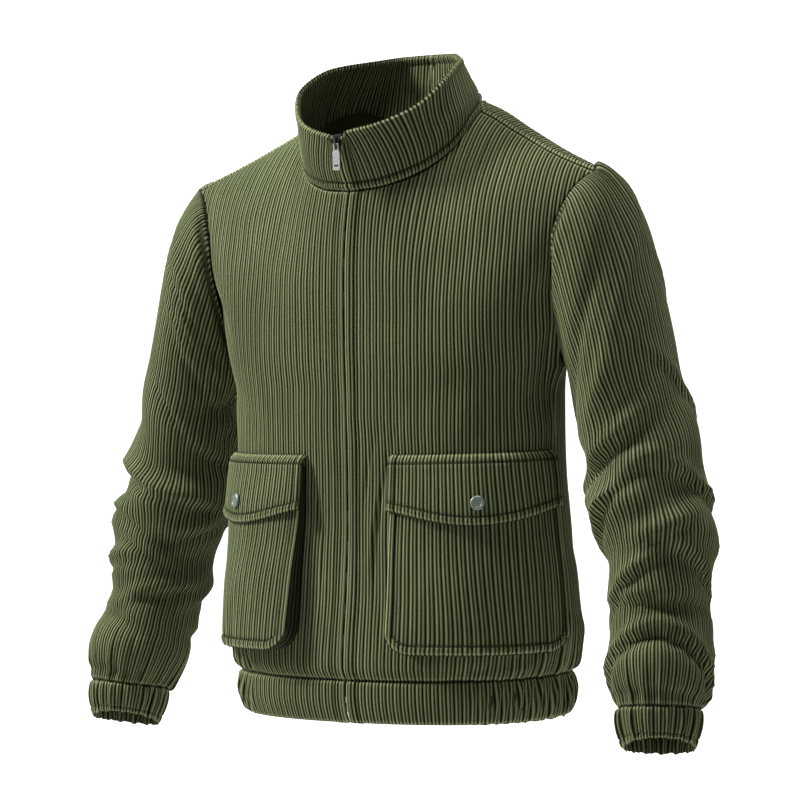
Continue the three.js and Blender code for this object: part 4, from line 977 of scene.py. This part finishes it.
def bandEdges(t, height, stitched):
    # rolls, wear with painted shade, and ribs of a gathered band from its seam to its rim
    fromTop, fromRim = t * height, (1 - t) * height
    lift = seamDip(fromTop, raised=bandShape["raised"])
    lift = lift + seamDip(fromRim, stitched=stitched, raised=bandShape["raised"])
    wear = seamWearAndShade(fromTop) * bandShape["wear"] + seamWearAndShade(fromRim)
    return fromTop, lift, wear, ribFade(fromTop) * ribFade(fromRim, bandShape["rimFade"])


def cuffPoint(angle, t, side):
    # angle in degrees, t from the sleeve down
    top = np.array(float(sleeve["cuffTop"]))
    centre, out, front, down = sleeveFrame(top)
    turn = np.radians(angle)
    shape = np.sin(math.pi * np.clip(t, 0, 1))
    broad = np.cos(turn * cuff["gathers"]) * (cuff["swell"] + cuff["swellVaries"] * np.sin(3 * turn + side))
    fine = np.cos(turn * cuff["fineGathers"] + cuff["fineDrift"] * np.sin(2 * turn))
    wave = cuff["depth"] * shape ** bandShape["puff"] * (broad + cuff["fineShare"] * fine)
    outward = wave - cuff["narrow"] * smooth(t) + cuff["belly"] * shape
    # the open end is drawn up on the side that faces the viewer
    facing = np.cos(turn - math.radians(cuff["faces"][side]))
    slant = np.where(facing > 0, cuff["raised"], cuff["lowered"]) * facing * t**2
    across = follow(sleeve["levels"], "z", "across", top) + outward
    fore = follow(sleeve["levels"], "z", "fore", top) + outward
    p = centre + down * (seamGap + cuff["height"] * t - slant)[..., None]
    return p + out * (across * np.cos(turn))[..., None] + front * (fore * np.sin(turn))[..., None]


def makeCuff(word, side):
    around = cuff["repeats"] * wale["repeat"]
    place = waleColumns(0.0, around)
    rows = seamShares(cuff["height"], start=True, end=True, step=bandShape["step"])
    angle, t = np.broadcast_arrays(place[None, :] / around * 360 - 180, rows[:, None])
    p = cuffPoint(angle, t, side)
    normal = gridNormals(p, p - p.mean(axis=1, keepdims=True), wrap=True)
    p, normal = mirrored(p, normal, side)
    p, normal, fromTop, lift, wear, fade = withAllowance(p, normal, *bandEdges(t, cuff["height"], True))
    cloth = Cloth(f"cuff_{word}_cloth", body["wall"], ribbedInside=True)
    cloth.add(p, normal, place[None, :], fromTop, lift, wear, fade)
    cloth.build(corduroyCloth, cuff, f"cuff_{word}")


for word, side in sides:
    makeCuff(word, side)

# hem band
hem = {
    "height": 46, "belly": 3, "tuck": 5, "depth": 3.0, "gathers": 1.25, "drift": 9, "flatTo": 128, "blend": 20,
    "flat": (1.19, 0.047), "area": 0.054, "held": "gathered",
}


def hemPoint(face, s, t):
    s, t = np.broadcast_arrays(np.asarray(s, float), np.asarray(t, float))
    x, depth = sectionPoint(face, np.full(s.shape, float(body["hemZ"])), s)
    sign = -1 if face == "front" else 1
    half = follow(body["levels"], "z", "half", body["hemZ"])
    deep = follow(body["levels"], "z", face, body["hemZ"])
    power = body["sectionPower"] - 1
    ahead = sign * (np.maximum(depth, 0) / deep) ** power
    flat = unit(np.stack([(x / half) ** power, ahead, np.zeros(s.shape)], -1))
    share = smooth((s - hem["flatTo"]) / hem["blend"]) if face == "front" else np.ones(s.shape)
    shape = np.sin(math.pi * t)
    run = s if face == "front" else 2 * sideLength["front"] - s
    wave = gatherWave(run + hem["drift"] * t)
    gathers = hem["depth"] * share * shape ** bandShape["puff"] * wave * hem["gathers"]
    outward = hem["belly"] * shape - hem["tuck"] * t * t + gathers
    down = np.stack([x, sign * depth, body["hemZ"] - seamGap - hem["height"] * t], -1)
    return down + flat * outward[..., None], flat


def addHemQuarter(cloth, face, side):
    first = frontGap / 2 if face == "front" else 0.0
    place = waleColumns(first, sideLength[face])
    rows = seamShares(hem["height"], start=True, end=True, step=bandShape["step"])
    s, t = np.broadcast_arrays(place[None, :], rows[:, None])
    p, flat = hemPoint(face, s, t)
    normal = gridNormals(p, flat)
    if face == "back":
        normal[:, 0] = unit(normal[:, 0] * [0, 1, 1])
    fromTop, lift, wear, fade = bandEdges(t, hem["height"], False)
    if face == "front":
        lift, wear, fade = withBand(s - first, lift, wear, fade)
    p, normal, s, fromTop, lift, wear, fade = withAllowance(p, normal, s, fromTop, lift, wear, fade)
    p, normal = mirrored(p, normal, side)
    cloth.add(p, normal, s, fromTop, lift, wear, fade)


cloth = Cloth("hem_band_cloth", body["wall"])
for word, side in sides:
    for face in ("front", "back"):
        addHemQuarter(cloth, face, side)
cloth.build(corduroyCloth, hem, "hem_band")
print("cuffs and hem made")

# collar
collar = {
    "rim": {"turn": [-90, -67, -40, -18, 8, 38, 66, 90], "x": [0, 38, 76, 91, 82, 55, 34, 0],
            "y": [-102, -93, -62, -30, 14, 56, 84, 94], "z": [-27, -15, 6, 33, 54, 62, 66, 67]},
    "bulge": 3.5, "above": 0.8, "notchTop": 5.5, "notchFrom": 0.42, "notchWidth": 14, "wall": 3.0, "rows": 64,
    "lean": 13, "leanFrom": 8, "leanOver": 16, "leanTo": 50, "leanFade": 90,
    "cornerUp": {"left": 4.5, "right": 1.0}, "cornerFrom": 8, "cornerOver": 3, "cornerTo": 20, "cornerFade": 50,
    "rimRoll": 1.6, "rimRollAt": 4.2, "rimRollWidth": 3.6, "rimEdge": 2.2, "rimEdgeWidth": 1.4,
    "rimStitch": 10.5, "rimGroove": 0.9, "rimWearAndShade": 0.9, "seamRaised": 1.1, "seamGroove": 2.3,
    "flat": (0.58, 0.11), "area": 0.0375, "held": "stretched",
}
# Dents of the collar: place round it (0 left of the zip, 1 right of it), height share, sizes and depth.
collarDents = [(0.17, 0.62, 0.035, 0.22, -4.5), (0.22, 0.35, 0.03, 0.25, 2.2), (0.10, 0.4, 0.03, 0.3, -1.5),
               (0.86, 0.45, 0.035, 0.3, -2.2), (0.92, 0.7, 0.03, 0.25, 1.6), (0.5, 0.5, 0.06, 0.3, -2.0),
               (0.36, 0.55, 0.03, 0.3, -2.0), (0.66, 0.5, 0.035, 0.3, -1.8)]


def neckCurve():
    # the neck seam's line, from the wearer's left of the zip round to the right, and the distance along it
    s = frontGap / 2 + (body["neckHalf"] - frontGap / 2) * np.linspace(0, 1, 160) ** 0.72
    front = bodyPoint("front", s, topRise("front", s))
    s = np.linspace(body["neckHalf"], 0, 160)
    back = bodyPoint("back", s, topRise("back", s))
    half = np.concatenate([front, back[1:]])
    full = np.concatenate([half, (half * [-1, 1, 1])[::-1][1:]])
    return full, lengthAlong(full)


neckLine, neckLength = neckCurve()


def collarPoint(place, t):
    # place in millimetres along the neck seam from the wearer's left of the zip, t from seam to rim
    place, t = np.broadcast_arrays(np.asarray(place, float), np.asarray(t, float))
    foot = np.stack([np.interp(place, neckLength, neckLine[:, k]) for k in range(3)], -1)
    fromEdge = np.minimum(place, neckLength[-1] - place)
    lean = collar["lean"] * smooth((fromEdge - collar["leanFrom"]) / collar["leanOver"])
    lean = lean * (1 - smooth((fromEdge - collar["leanTo"]) / collar["leanFade"]))
    share = place / neckLength[-1]
    left = share <= 0.5
    share = np.where(left, place - lean * t, place + lean * t) / neckLength[-1]
    turn = np.where(left, mix(-90, 90, share * 2), mix(90, -90, share * 2 - 1))
    top = np.stack([follow(collar["rim"], "turn", key, turn) for key in ("x", "y", "z")], -1)
    top[..., 0] = np.where(left, top[..., 0], -top[..., 0])
    corner = np.where(left, collar["cornerUp"]["left"], collar["cornerUp"]["right"])
    corner = corner * smooth((place - collar["cornerFrom"]) / collar["cornerOver"])
    top[..., 2] += corner * (1 - smooth((fromEdge - collar["cornerTo"]) / collar["cornerFade"]))
    outward = unit(foot * [1, 1, 0] - [0, 5, 0])
    bulge = collar["bulge"] * np.sin(math.pi * t) * np.where(t < 0.5, 1, collar["above"])
    for at, height, width, tall, depth in collarDents:
        bulge = bulge + depth * np.exp(-((share - at) / width) ** 2) * np.exp(-((t - height) / tall) ** 2)
    p = mix(foot, top, t[..., None]) + outward * bulge[..., None]
    part = frontGap / 2 + collar["notchTop"] * smooth((t - collar["notchFrom"]) / (1 - collar["notchFrom"]))
    near = 1 - smooth(fromEdge / collar["notchWidth"])
    edge = np.where(left, part, -part)
    inside = np.where(left, np.maximum(p[..., 0], part), np.minimum(p[..., 0], -part))
    p[..., 0] = mix(inside, np.where(fromEdge < 0.01, edge, inside), near)
    return p, outward


def sewBothSides(field, p, normal, lift, level=None):
    # one row of stitches near each end of the rows
    sew(field, p, normal, lift, 1, level)
    sew(field[:, ::-1], p[:, ::-1], normal[:, ::-1], lift[:, ::-1], 1, level)


def makeCollar():
    place = waleColumns(0.0, float(neckLength[-1]))
    rows = seamShares(collar["rows"], start=True, end=True, step=5)
    p, outward = collarPoint(place[None, :], rows[:, None])
    normal = gridNormals(p, outward)
    fromSeam = distanceDown(p)
    fromRim = fromSeam[-1:] - fromSeam
    fromEdge = np.broadcast_to(np.minimum(place, neckLength[-1] - place)[None, :], fromSeam.shape)
    rim = collar["rimRoll"] * np.exp(-((fromRim - collar["rimRollAt"]) / collar["rimRollWidth"]) ** 2)
    rim = rim - collar["rimEdge"] * np.exp(-(fromRim / collar["rimEdgeWidth"]) ** 2)
    thick = collar["wall"] + rim + stitchGroove(fromRim, collar["rimStitch"], collar["rimGroove"])
    lift = seamDip(fromSeam, stitched=True, raised=collar["seamRaised"], groove=collar["seamGroove"]) + rim
    wear = seamWearAndShade(fromSeam, stitched=True) + seamWearAndShade(fromRim + 1.2) * collar["rimWearAndShade"]
    lift, wear, fade = withBand(fromEdge, lift, wear, ribFade(fromSeam) * ribFade(fromRim, 0.3))
    sew(fromSeam, p, normal, lift)
    sewBothSides(fromEdge, p, normal, lift, frontBand["stitch"])
    cloth = Cloth("collar_cloth", collar["wall"], ribbedInside=True)
    p, normal, fromSeam, lift, wear, fade, thick = withAllowance(p, normal, fromSeam, lift, wear, fade, thick)
    cloth.add(p, normal, place[None, :], fromSeam, lift, wear, fade, thick=thick)
    cloth.build(corduroyCloth, collar, "collar")


makeCollar()
print("collar made")

# pockets, flaps and snaps
pocket = {
    "inner": 55, "outer": 236, "top": -370, "bottom": -564, "corner": 26, "liftTop": 7, "liftBottom": 21,
    "liftSide": 5, "wall": 2, "bellows": 2.5, "belly": 5, "bellySkew": 0.65, "bellyFrom": 50, "bellyTo": 84,
    "bellyEnd": 0.6, "puff": 0.6, "rows": 198, "gussetRows": 20, "edgeColumns": (0.01, 0.04, 0.09, 0.16, 0.25),
    "flat": (0.25, 0.24), "area": 0.054, "held": "gathered",
}
flap = {
    "inner": 53, "outer": 238, "top": -357, "bend": -368, "edge": -416, "tip": -432, "point": 1.3, "wall": 2.4,
    "away": 1.4, "awayOver": 20, "highRows": 14, "lowRows": 62, "curl": 1.6, "curlOver": 8, "wave": 1.2,
    "flat": (0.195, 0.09), "area": 0.0158, "held": "hung",
}
snap = {"s": 148, "z": -408.5, "dimple": 1.4, "wide": 16, "tall": 14}
# Dents of the pocket faces: side, wale, height, slope, reach, width, depth.
pocketDents = [
    (1, 90, -470, 2.2, 60, 13, -1.6), (1, 175, -500, -1.8, 60, 15, 1.8), (1, 130, -545, 0.1, 50, 9, -1.8),
    (1, 210, -440, 1.5, 50, 12, -1.6), (-1, 80, -480, 2.0, 60, 13, -1.4), (-1, 150, -520, -1.5, 50, 12, 1.6),
    (-1, 200, -460, 1.4, 50, 12, -1.6),
]


def across(piece, s):
    # share of the way from a piece's edge by the zip to its edge by the side
    return clamp01((s - piece["inner"]) / (piece["outer"] - piece["inner"]))


def fromSides(piece, s):
    return np.minimum(s - piece["inner"], piece["outer"] - s)


def pocketLift(z, s):
    # how far the pocket's face stands off the front
    share = across(pocket, s)
    low = mix(pocket["liftBottom"], pocket["liftSide"], smooth(share))
    belly = pocket["belly"] * np.sin(math.pi * share ** pocket["bellySkew"])
    belly = belly * smooth((pocket["top"] - z) / pocket["bellyFrom"])
    nearFloor = smooth((pocket["bottom"] + pocket["bellyTo"] - z) / pocket["bellyTo"])
    belly = belly * (1 - pocket["bellyEnd"] * nearFloor)
    return belly + mix(pocket["liftTop"], low, smooth((pocket["top"] - z) / (pocket["top"] - pocket["bottom"])))


def pocketFloor(s):
    # height of the pocket's lower edge, with its round corners
    into = np.maximum(0, pocket["corner"] - fromSides(pocket, s))
    return pocket["bottom"] + pocket["corner"] - np.sqrt(np.maximum(0, pocket["corner"] ** 2 - into**2))


def dents(side, s, z):
    total = np.zeros(np.broadcast(s, z).shape)
    for where, *shape in pocketDents:
        if where == side:
            total = total + crease(s, z, shape)
    return total


def onFront(side, s, z, off):
    p, normal = bodySurface("front", side, s, (z - body["chestZ"]) / (body["chestZ"] - body["hemZ"]))
    return p + normal * np.asarray(off)[..., None], normal


def flapLift(z, s):
    high = mix(0, pocket["liftTop"] + seamGap, smooth((flap["top"] - z) / (flap["top"] - flap["bend"])))
    low = (pocketLift(np.minimum(z, pocket["top"]), s) + seamGap
           + flap["away"] * smooth((flap["bend"] - z) / flap["awayOver"]))
    return 2 * seamGap + flap["wall"] + np.where(z > flap["bend"], high, low)


def flapEdge(s):
    # height of the flap's lower edge, which comes to a soft point
    return mix(flap["edge"], flap["tip"], np.sin(math.pi * across(flap, s)) ** flap["point"])


def makePocket(word, side):
    cloth = Cloth(f"pocket_{word}_cloth", pocket["wall"])
    close = [pocket["corner"] * share for share in pocket["edgeColumns"]]
    place = waleColumns(float(pocket["inner"]), float(pocket["outer"]),
                        [pocket["inner"] + step for step in close] + [pocket["outer"] - step for step in close])
    rows = seamShares(pocket["rows"], start=True, end=True)
    s, t = np.broadcast_arrays(place[None, :], rows[:, None])
    z = mix(pocket["top"], pocketFloor(s), t)
    puff = np.sin(math.pi * across(pocket, s)) ** 0.5 * np.sin(math.pi * t) ** 0.7
    off = pocketLift(z, s) + puff * (pocket["puff"] + dents(side, s, z))
    p, reference = onFront(side, s, z, off)
    normal = gridNormals(p, reference)
    corner = np.maximum(pocket["corner"] - fromSides(pocket, s), 0)
    slant = np.sqrt(np.maximum(0.0001, 1 - (corner / pocket["corner"]) ** 2))
    fromRim = np.minimum(fromSides(pocket, s), (z - pocketFloor(s)) * slant)
    lift = seamDip(fromRim, stitched=True, raised=1.2, groove=1.0)
    cloth.add(p, normal, s, -z, lift, seamWearAndShade(fromRim, stitched=True) * 1.1, ribFade(fromRim))
    sew(fromRim, p, normal, lift, 0)
    sewBothSides(fromRim, p, normal, lift)
    addGusset(cloth, side, place, rows, p, normal)
    cloth.build(corduroyCloth, pocket, f"pocket_{word}")


def addGusset(cloth, side, place, rows, p, normal):
    # gusset from the face's edge down to the panel, folded inward
    edgeS = np.concatenate([np.full(len(rows), place[0]), place[1:-1], np.full(len(rows), place[-1])])
    edgeT = np.concatenate([rows, np.ones(len(place) - 2), rows[::-1]])
    edgeP = np.concatenate([p[:, 0], p[-1, 1:-1], p[::-1, -1]])
    edgeZ = mix(pocket["top"], pocketFloor(edgeS), edgeT)
    dS, dZ = np.gradient(edgeS), np.gradient(edgeZ)
    size = np.maximum(np.hypot(dS, dZ), 1e-6)
    inS, inZ = -dZ / size, dS / size
    levels = np.concatenate(([0.0, 0.03], np.linspace(0.06, 1.0, pocket["gussetRows"])))[:, None]
    full = pocketLift(edgeZ, edgeS)[None, :]
    depth = pocket["bellows"] * np.sin(math.pi * levels) ** 0.8
    footOff = mix(full, np.full_like(full, seamGap), levels)

    def inward(distance):
        s, z = edgeS[None, :] + inS[None, :] * distance, edgeZ[None, :] + inZ[None, :] * distance
        return onFront(side, s, z, footOff)[0]
    gusset = inward(depth)
    gusset[0] = edgeP
    outward = inward(-4) - gusset
    gussetNormal = unit(np.cross(np.gradient(gusset, axis=1), np.gradient(gusset, axis=0)))
    gussetNormal = gussetNormal * (1 if np.sum(gussetNormal * outward) > 0 else -1)
    span = lengthAlong(edgeP)
    lift = np.zeros(gusset.shape[:2])
    lift[0] = -1.5
    blend = smooth(levels / 0.2)[..., None]
    edgeNormal = np.concatenate([normal[:, 0], normal[-1, 1:-1], normal[::-1, -1]])[None, :]
    gussetNormal = unit(mix(edgeNormal, gussetNormal, blend))
    kept = nearestColumns(len(place))
    kept = np.where(kept == 0, len(rows) - 1, len(rows) - 1 + kept)
    kept = np.concatenate([np.arange(len(rows)), kept[1:-1], len(rows) + len(place) - 2 + np.arange(len(rows))])
    # the gusset's colour gets painted shade, darker further in towards the panel
    cloth.add(gusset, gussetNormal, levels * 2 * wale["repeat"], span[None, :], lift, -0.4 - 1.2 * levels,
              0.8 * smooth(levels / 0.1), kept)


def makeFlap(word, side):
    cloth = Cloth(f"flap_{word}_cloth", flap["wall"])
    place = waleColumns(float(flap["inner"]), float(flap["outer"]))
    high = seamShares(flap["highRows"], step=2)
    low = seamShares(flap["lowRows"], end=True, step=5)
    t = np.concatenate([high, 1 + low[1:]])
    s, t = np.broadcast_arrays(place[None, :], t[:, None])
    z = np.where(t <= 1, mix(flap["top"], flap["bend"], t), mix(flap["bend"], flapEdge(s), t - 1))
    fromTop = flap["top"] - z
    fromEdge = z - flapEdge(s)
    fromSide = fromSides(flap, s)
    curl = flap["curl"] * np.exp(-(fromEdge / flap["curlOver"]) ** 2) * np.sin(s / 23.0 + side)
    curl = curl + flap["wave"] * smooth(fromTop / 12) * np.sin(s / 31.0) * 0.4
    nearSnap = ((s - snap["s"]) / snap["wide"]) ** 2 + ((z - snap["z"]) / snap["tall"]) ** 2
    dimple = -snap["dimple"] * np.exp(-nearSnap)
    p, reference = onFront(side, s, z, flapLift(z, s) + np.maximum(curl, -0.3) + np.maximum(dimple, -0.2))
    normal = gridNormals(p, reference)
    lift = seamDip(fromTop, stitched=True, raised=0.8, groove=2.0)
    lift = lift + seamDip(fromEdge, stitched=True, raised=0.8)
    lift = lift + seamDip(fromSide, stitched=True, raised=0.8, groove=0.8)
    wear = seamWearAndShade(fromTop, stitched=True) + seamWearAndShade(fromEdge, stitched=True)
    wear = wear + seamWearAndShade(fromSide, stitched=True) * 0.8
    fade = ribFade(np.minimum(np.minimum(fromEdge, fromSide), fromTop))
    cloth.add(p, normal, s, -z, lift, wear, fade)
    sew(fromTop, p, normal, lift)
    sew(fromEdge, p, normal, lift)
    sewBothSides(fromSide, p, normal, lift)
    cloth.build(corduroyCloth, flap, f"flap_{word}")


for word, side in sides:
    makePocket(word, side)
    makeFlap(word, side)
print("pockets made")


# metal, tape and snaps
def grey(value):
    return (value, value, value)


def patterned(name, look):
    # one fine pattern gives the colour, and where the look asks for them the roughness and relief
    material, node, join, shader = makeMaterial(name)
    place = node("ShaderNodeTexCoord")
    pattern = node(look["pattern"], look["values"], **look.get("kind", {}))
    shade = ramp(node, look["colours"])
    join((place, "Object", pattern, "Vector"), (pattern, "Fac", shade, "Fac"),
         (shade, "Color", shader, "Base Color"))
    if "roughness" in look:
        rough = ramp(node, look["roughness"])
        join((pattern, "Fac", rough, "Fac"), (rough, "Color", shader, "Roughness"))
    if "relief" in look:
        bump = node("ShaderNodeBump", look["relief"])
        join((pattern, "Fac", bump, "Height"), (bump, "Normal", shader, "Normal"))
    setSockets(shader, look["finish"])
    return material


silverLook = {
    "pattern": "ShaderNodeTexNoise", "values": {"Scale": 900, "Detail": 4},
    "colours": [(0.3, (0.9 * 0.96, 0.9 * 0.96, 0.89 * 0.96)), (0.7, (0.9, 0.9, 0.89))],
    "roughness": [(0.3, grey(0.3 * 0.8)), (0.75, grey(0.3 * 1.35))], "finish": {"Metallic": 0.7},
}
gunMetalLook = {
    "pattern": "ShaderNodeTexNoise", "values": {"Scale": 900, "Detail": 4},
    "colours": [(0.3, (0.16 * 0.7, 0.16 * 0.7, 0.165 * 0.7)), (0.7, (0.16, 0.16, 0.165))],
    "roughness": [(0.3, grey(0.3 * 0.8)), (0.75, grey(0.3 * 1.35))], "finish": {"Metallic": 1.0},
}
snapLook = {
    "pattern": "ShaderNodeTexNoise", "values": {"Scale": 700, "Detail": 5},
    "colours": [(0.35, (0.19, 0.245, 0.20)), (0.75, (0.27, 0.32, 0.27))],
    "relief": {"Strength": 0.2, "Distance": 0.0002}, "finish": {"Roughness": 0.42, "Metallic": 0.25},
}
tapeLook = {
    "pattern": "ShaderNodeTexWave", "kind": {"wave_type": "BANDS", "bands_direction": "DIAGONAL"},
    "values": {"Scale": 520, "Distortion": 1.5},
    "colours": [(0.2, (0.006, 0.007, 0.004)), (0.8, (0.030, 0.034, 0.022))],
    "relief": {"Strength": 0.4, "Distance": 0.0003}, "finish": {"Roughness": 0.9},
}
threadLook = {
    "pattern": "ShaderNodeTexNoise", "values": {"Scale": 2200},
    "colours": [(0.3, (0.012, 0.016, 0.006)), (0.7, (0.055, 0.068, 0.03))], "finish": {"Roughness": 0.75},
}
silverMetal = patterned("silver metal", silverLook)
gunMetal = patterned("gunmetal", gunMetalLook)
snapEnamel = patterned("snap enamel", snapLook)
tapeCloth = patterned("zip tape", tapeLook)
threadCloth = patterned("thread", threadLook)

nodeLooks = {
    "zip_tape_right": tapeCloth, "zip_tape_left": tapeCloth, "zip_slider": gunMetal,
    "zip_pull": silverMetal, "snap_right": snapEnamel, "snap_left": snapEnamel,
}
for name, look in nodeLooks.items():
    thing = bpy.data.objects[name]
    thing.data.materials.clear()
    thing.data.materials.append(look)
makeThreads("topstitching", threadCloth)

teeth = {
    "pitch": 2.0, "length": 3.1, "high": 0.966, "deep": 1.5, "overlap": 0.5, "top": -44.5, "bottom": -636,
    "tipShare": 0.6, "tipLength": 0.7, "rootShare": 0.85,
}


def makeTeeth():
    # interlocking teeth down the middle of the zip's chain, following its depth
    chain = bpy.data.objects["zip_chain"]
    places = np.array([tuple(chain.matrix_world @ v.co) for v in chain.data.vertices]) * 1000
    heights = np.arange(teeth["bottom"], teeth["top"], teeth["pitch"] / 2)
    vertices, faces = [], []
    for row, z in enumerate(heights):
        near = places[np.argsort(np.abs(places[:, 2] - z))[:10]]
        y = (near[:, 1].min() + near[:, 1].max()) / 2
        way = 1 if row % 2 else -1
        inner, outer = -way * teeth["overlap"], way * (teeth["length"] - teeth["overlap"])
        tall, deep = teeth["high"] / 2, teeth["deep"] / 2
        base = len(vertices)
        widest = inner + way * teeth["tipLength"]
        for x, shrink in ((inner, teeth["tipShare"]), (widest, 1.0), (outer, teeth["rootShare"])):
            for dy, dz in ((-deep, -tall), (deep, -tall), (deep, tall), (-deep, tall)):
                vertices.append((x, y + dy * shrink, z + dz * shrink))
        loops = [(base, base + 1, base + 2, base + 3), (base + 11, base + 10, base + 9, base + 8)]
        for ring in (base, base + 4):
            for j in range(4):
                k = (j + 1) % 4
                loops.append((ring + j, ring + 4 + j, ring + 4 + k, ring + k))
        faces.extend(loops if way < 0 else [loop[::-1] for loop in loops])
    mesh = bpy.data.meshes.new("zip_teeth")
    mesh.from_pydata([tuple(v) for v in np.array(vertices) * 0.001], [], faces)
    mesh.materials.append(gunMetal)
    piece = addObject("zip_teeth", mesh)
    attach(piece, "jacket")
    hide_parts("zip_chain")


makeTeeth()
print("small parts dressed")

# floor, light and camera
view = {
    "azimuth": 32.8, "elevation": 2.1, "roll": 1.9, "distance": 3.6, "target": (0.0028, 0, -0.3051),
    "lens": 151.4, "sensor": 36, "near": 0.1, "far": 1000,
}
stage = {
    "floor": -2.4, "half": 300.0, "behind": 9.0, "screenHalf": 2.6, "screenTop": 2.0, "glow": 1.0,
    "floorGlow": 0.3, "world": 0.09, "aim": (0, 0, -0.3),
}
# Places are right, up and towards the camera from the jacket's middle, then width, height and power.
lights = {
    "key": ((-3.0, 2.2, -0.1), (0.6, 0.9), 205),
    "fill": ((0.9, 0.7, 3.3), (1.0, 1.0), 2),
    "top": ((0.2, 2.9, 0.1), (1.0, 0.7), 72),
    "rim": ((2.3, 0.9, -1.0), (0.5, 1.4), 12),
}


def paleSheet(name, corners, glow):
    mesh = bpy.data.meshes.new(name)
    mesh.from_pydata([tuple(corner) for corner in corners], [], [(0, 1, 2, 3)])
    sheet = addObject(name, mesh)
    material, _, _, shader = makeMaterial(name)
    setSockets(shader, {"Base Color": (0.85, 0.85, 0.85, 1), "Roughness": 0.9,
                        "Emission Color": (1, 1, 1, 1), "Emission Strength": glow})
    mesh.materials.append(material)


def makeStage():
    # a wide floor, and a lit screen far enough behind to leave room for a look from the back
    half, level = stage["half"], stage["floor"]
    paleSheet("floor", [(-half, -half, level), (half, -half, level), (half, half, level), (-half, half, level)],
              stage["floorGlow"])
    turn = Matrix.Rotation(math.radians(view["azimuth"]), 4, "Z")
    wide, top, away = stage["screenHalf"], stage["screenTop"], stage["behind"]
    screen = [(-wide, away, level), (wide, away, level), (wide, away, top), (-wide, away, top)]
    paleSheet("screen", [turn @ Vector(corner) for corner in screen], stage["glow"])


def fromCamera(right, up, back):
    a = math.radians(view["azimuth"])
    return Vector((right * math.cos(a) + back * math.sin(a), right * math.sin(a) - back * math.cos(a), up))


def softLight(name, place, size, power):
    data = bpy.data.lights.new(name, "AREA")
    data.shape, data.size, data.size_y = "RECTANGLE", size[0], size[1]
    data.energy = power
    light = addObject(name, data)
    light.location = place
    light.rotation_mode = "QUATERNION"
    light.rotation_quaternion = (Vector(stage["aim"]) - place).to_track_quat("-Z", "Y")


def makeWorld():
    world = bpy.data.worlds.new("studio")
    bpy.context.scene.world = world
    world.use_nodes = True
    setSockets(world.node_tree.nodes["Background"], {"Color": (1, 1, 1, 1), "Strength": stage["world"]})
    bpy.context.scene.view_settings.view_transform = "Standard"


def makeCamera():
    camera = addObject("camera", bpy.data.cameras.new("camera"))
    camera.data.lens, camera.data.sensor_width = view["lens"], view["sensor"]
    azimuth, elevation, roll = (math.radians(view[key]) for key in ("azimuth", "elevation", "roll"))
    level = math.cos(elevation)
    back = Vector((math.sin(azimuth) * level, -math.cos(azimuth) * level, math.sin(elevation)))
    right = Vector((math.cos(azimuth), math.sin(azimuth), 0))
    up = back.cross(right)
    tiltedRight = right * math.cos(roll) - up * math.sin(roll)
    tiltedUp = right * math.sin(roll) + up * math.cos(roll)
    turn = Matrix((tiltedRight, tiltedUp, back)).transposed().to_4x4()
    camera.matrix_world = Matrix.Translation(Vector(view["target"]) + back * view["distance"]) @ turn
    camera.data.clip_start, camera.data.clip_end = view["near"], view["far"]
    bpy.context.scene.camera = camera


makeStage()
for name, (place, size, power) in lights.items():
    softLight(name, fromCamera(*place), size, power)
makeWorld()
makeCamera()
print("stage, lights and camera made")
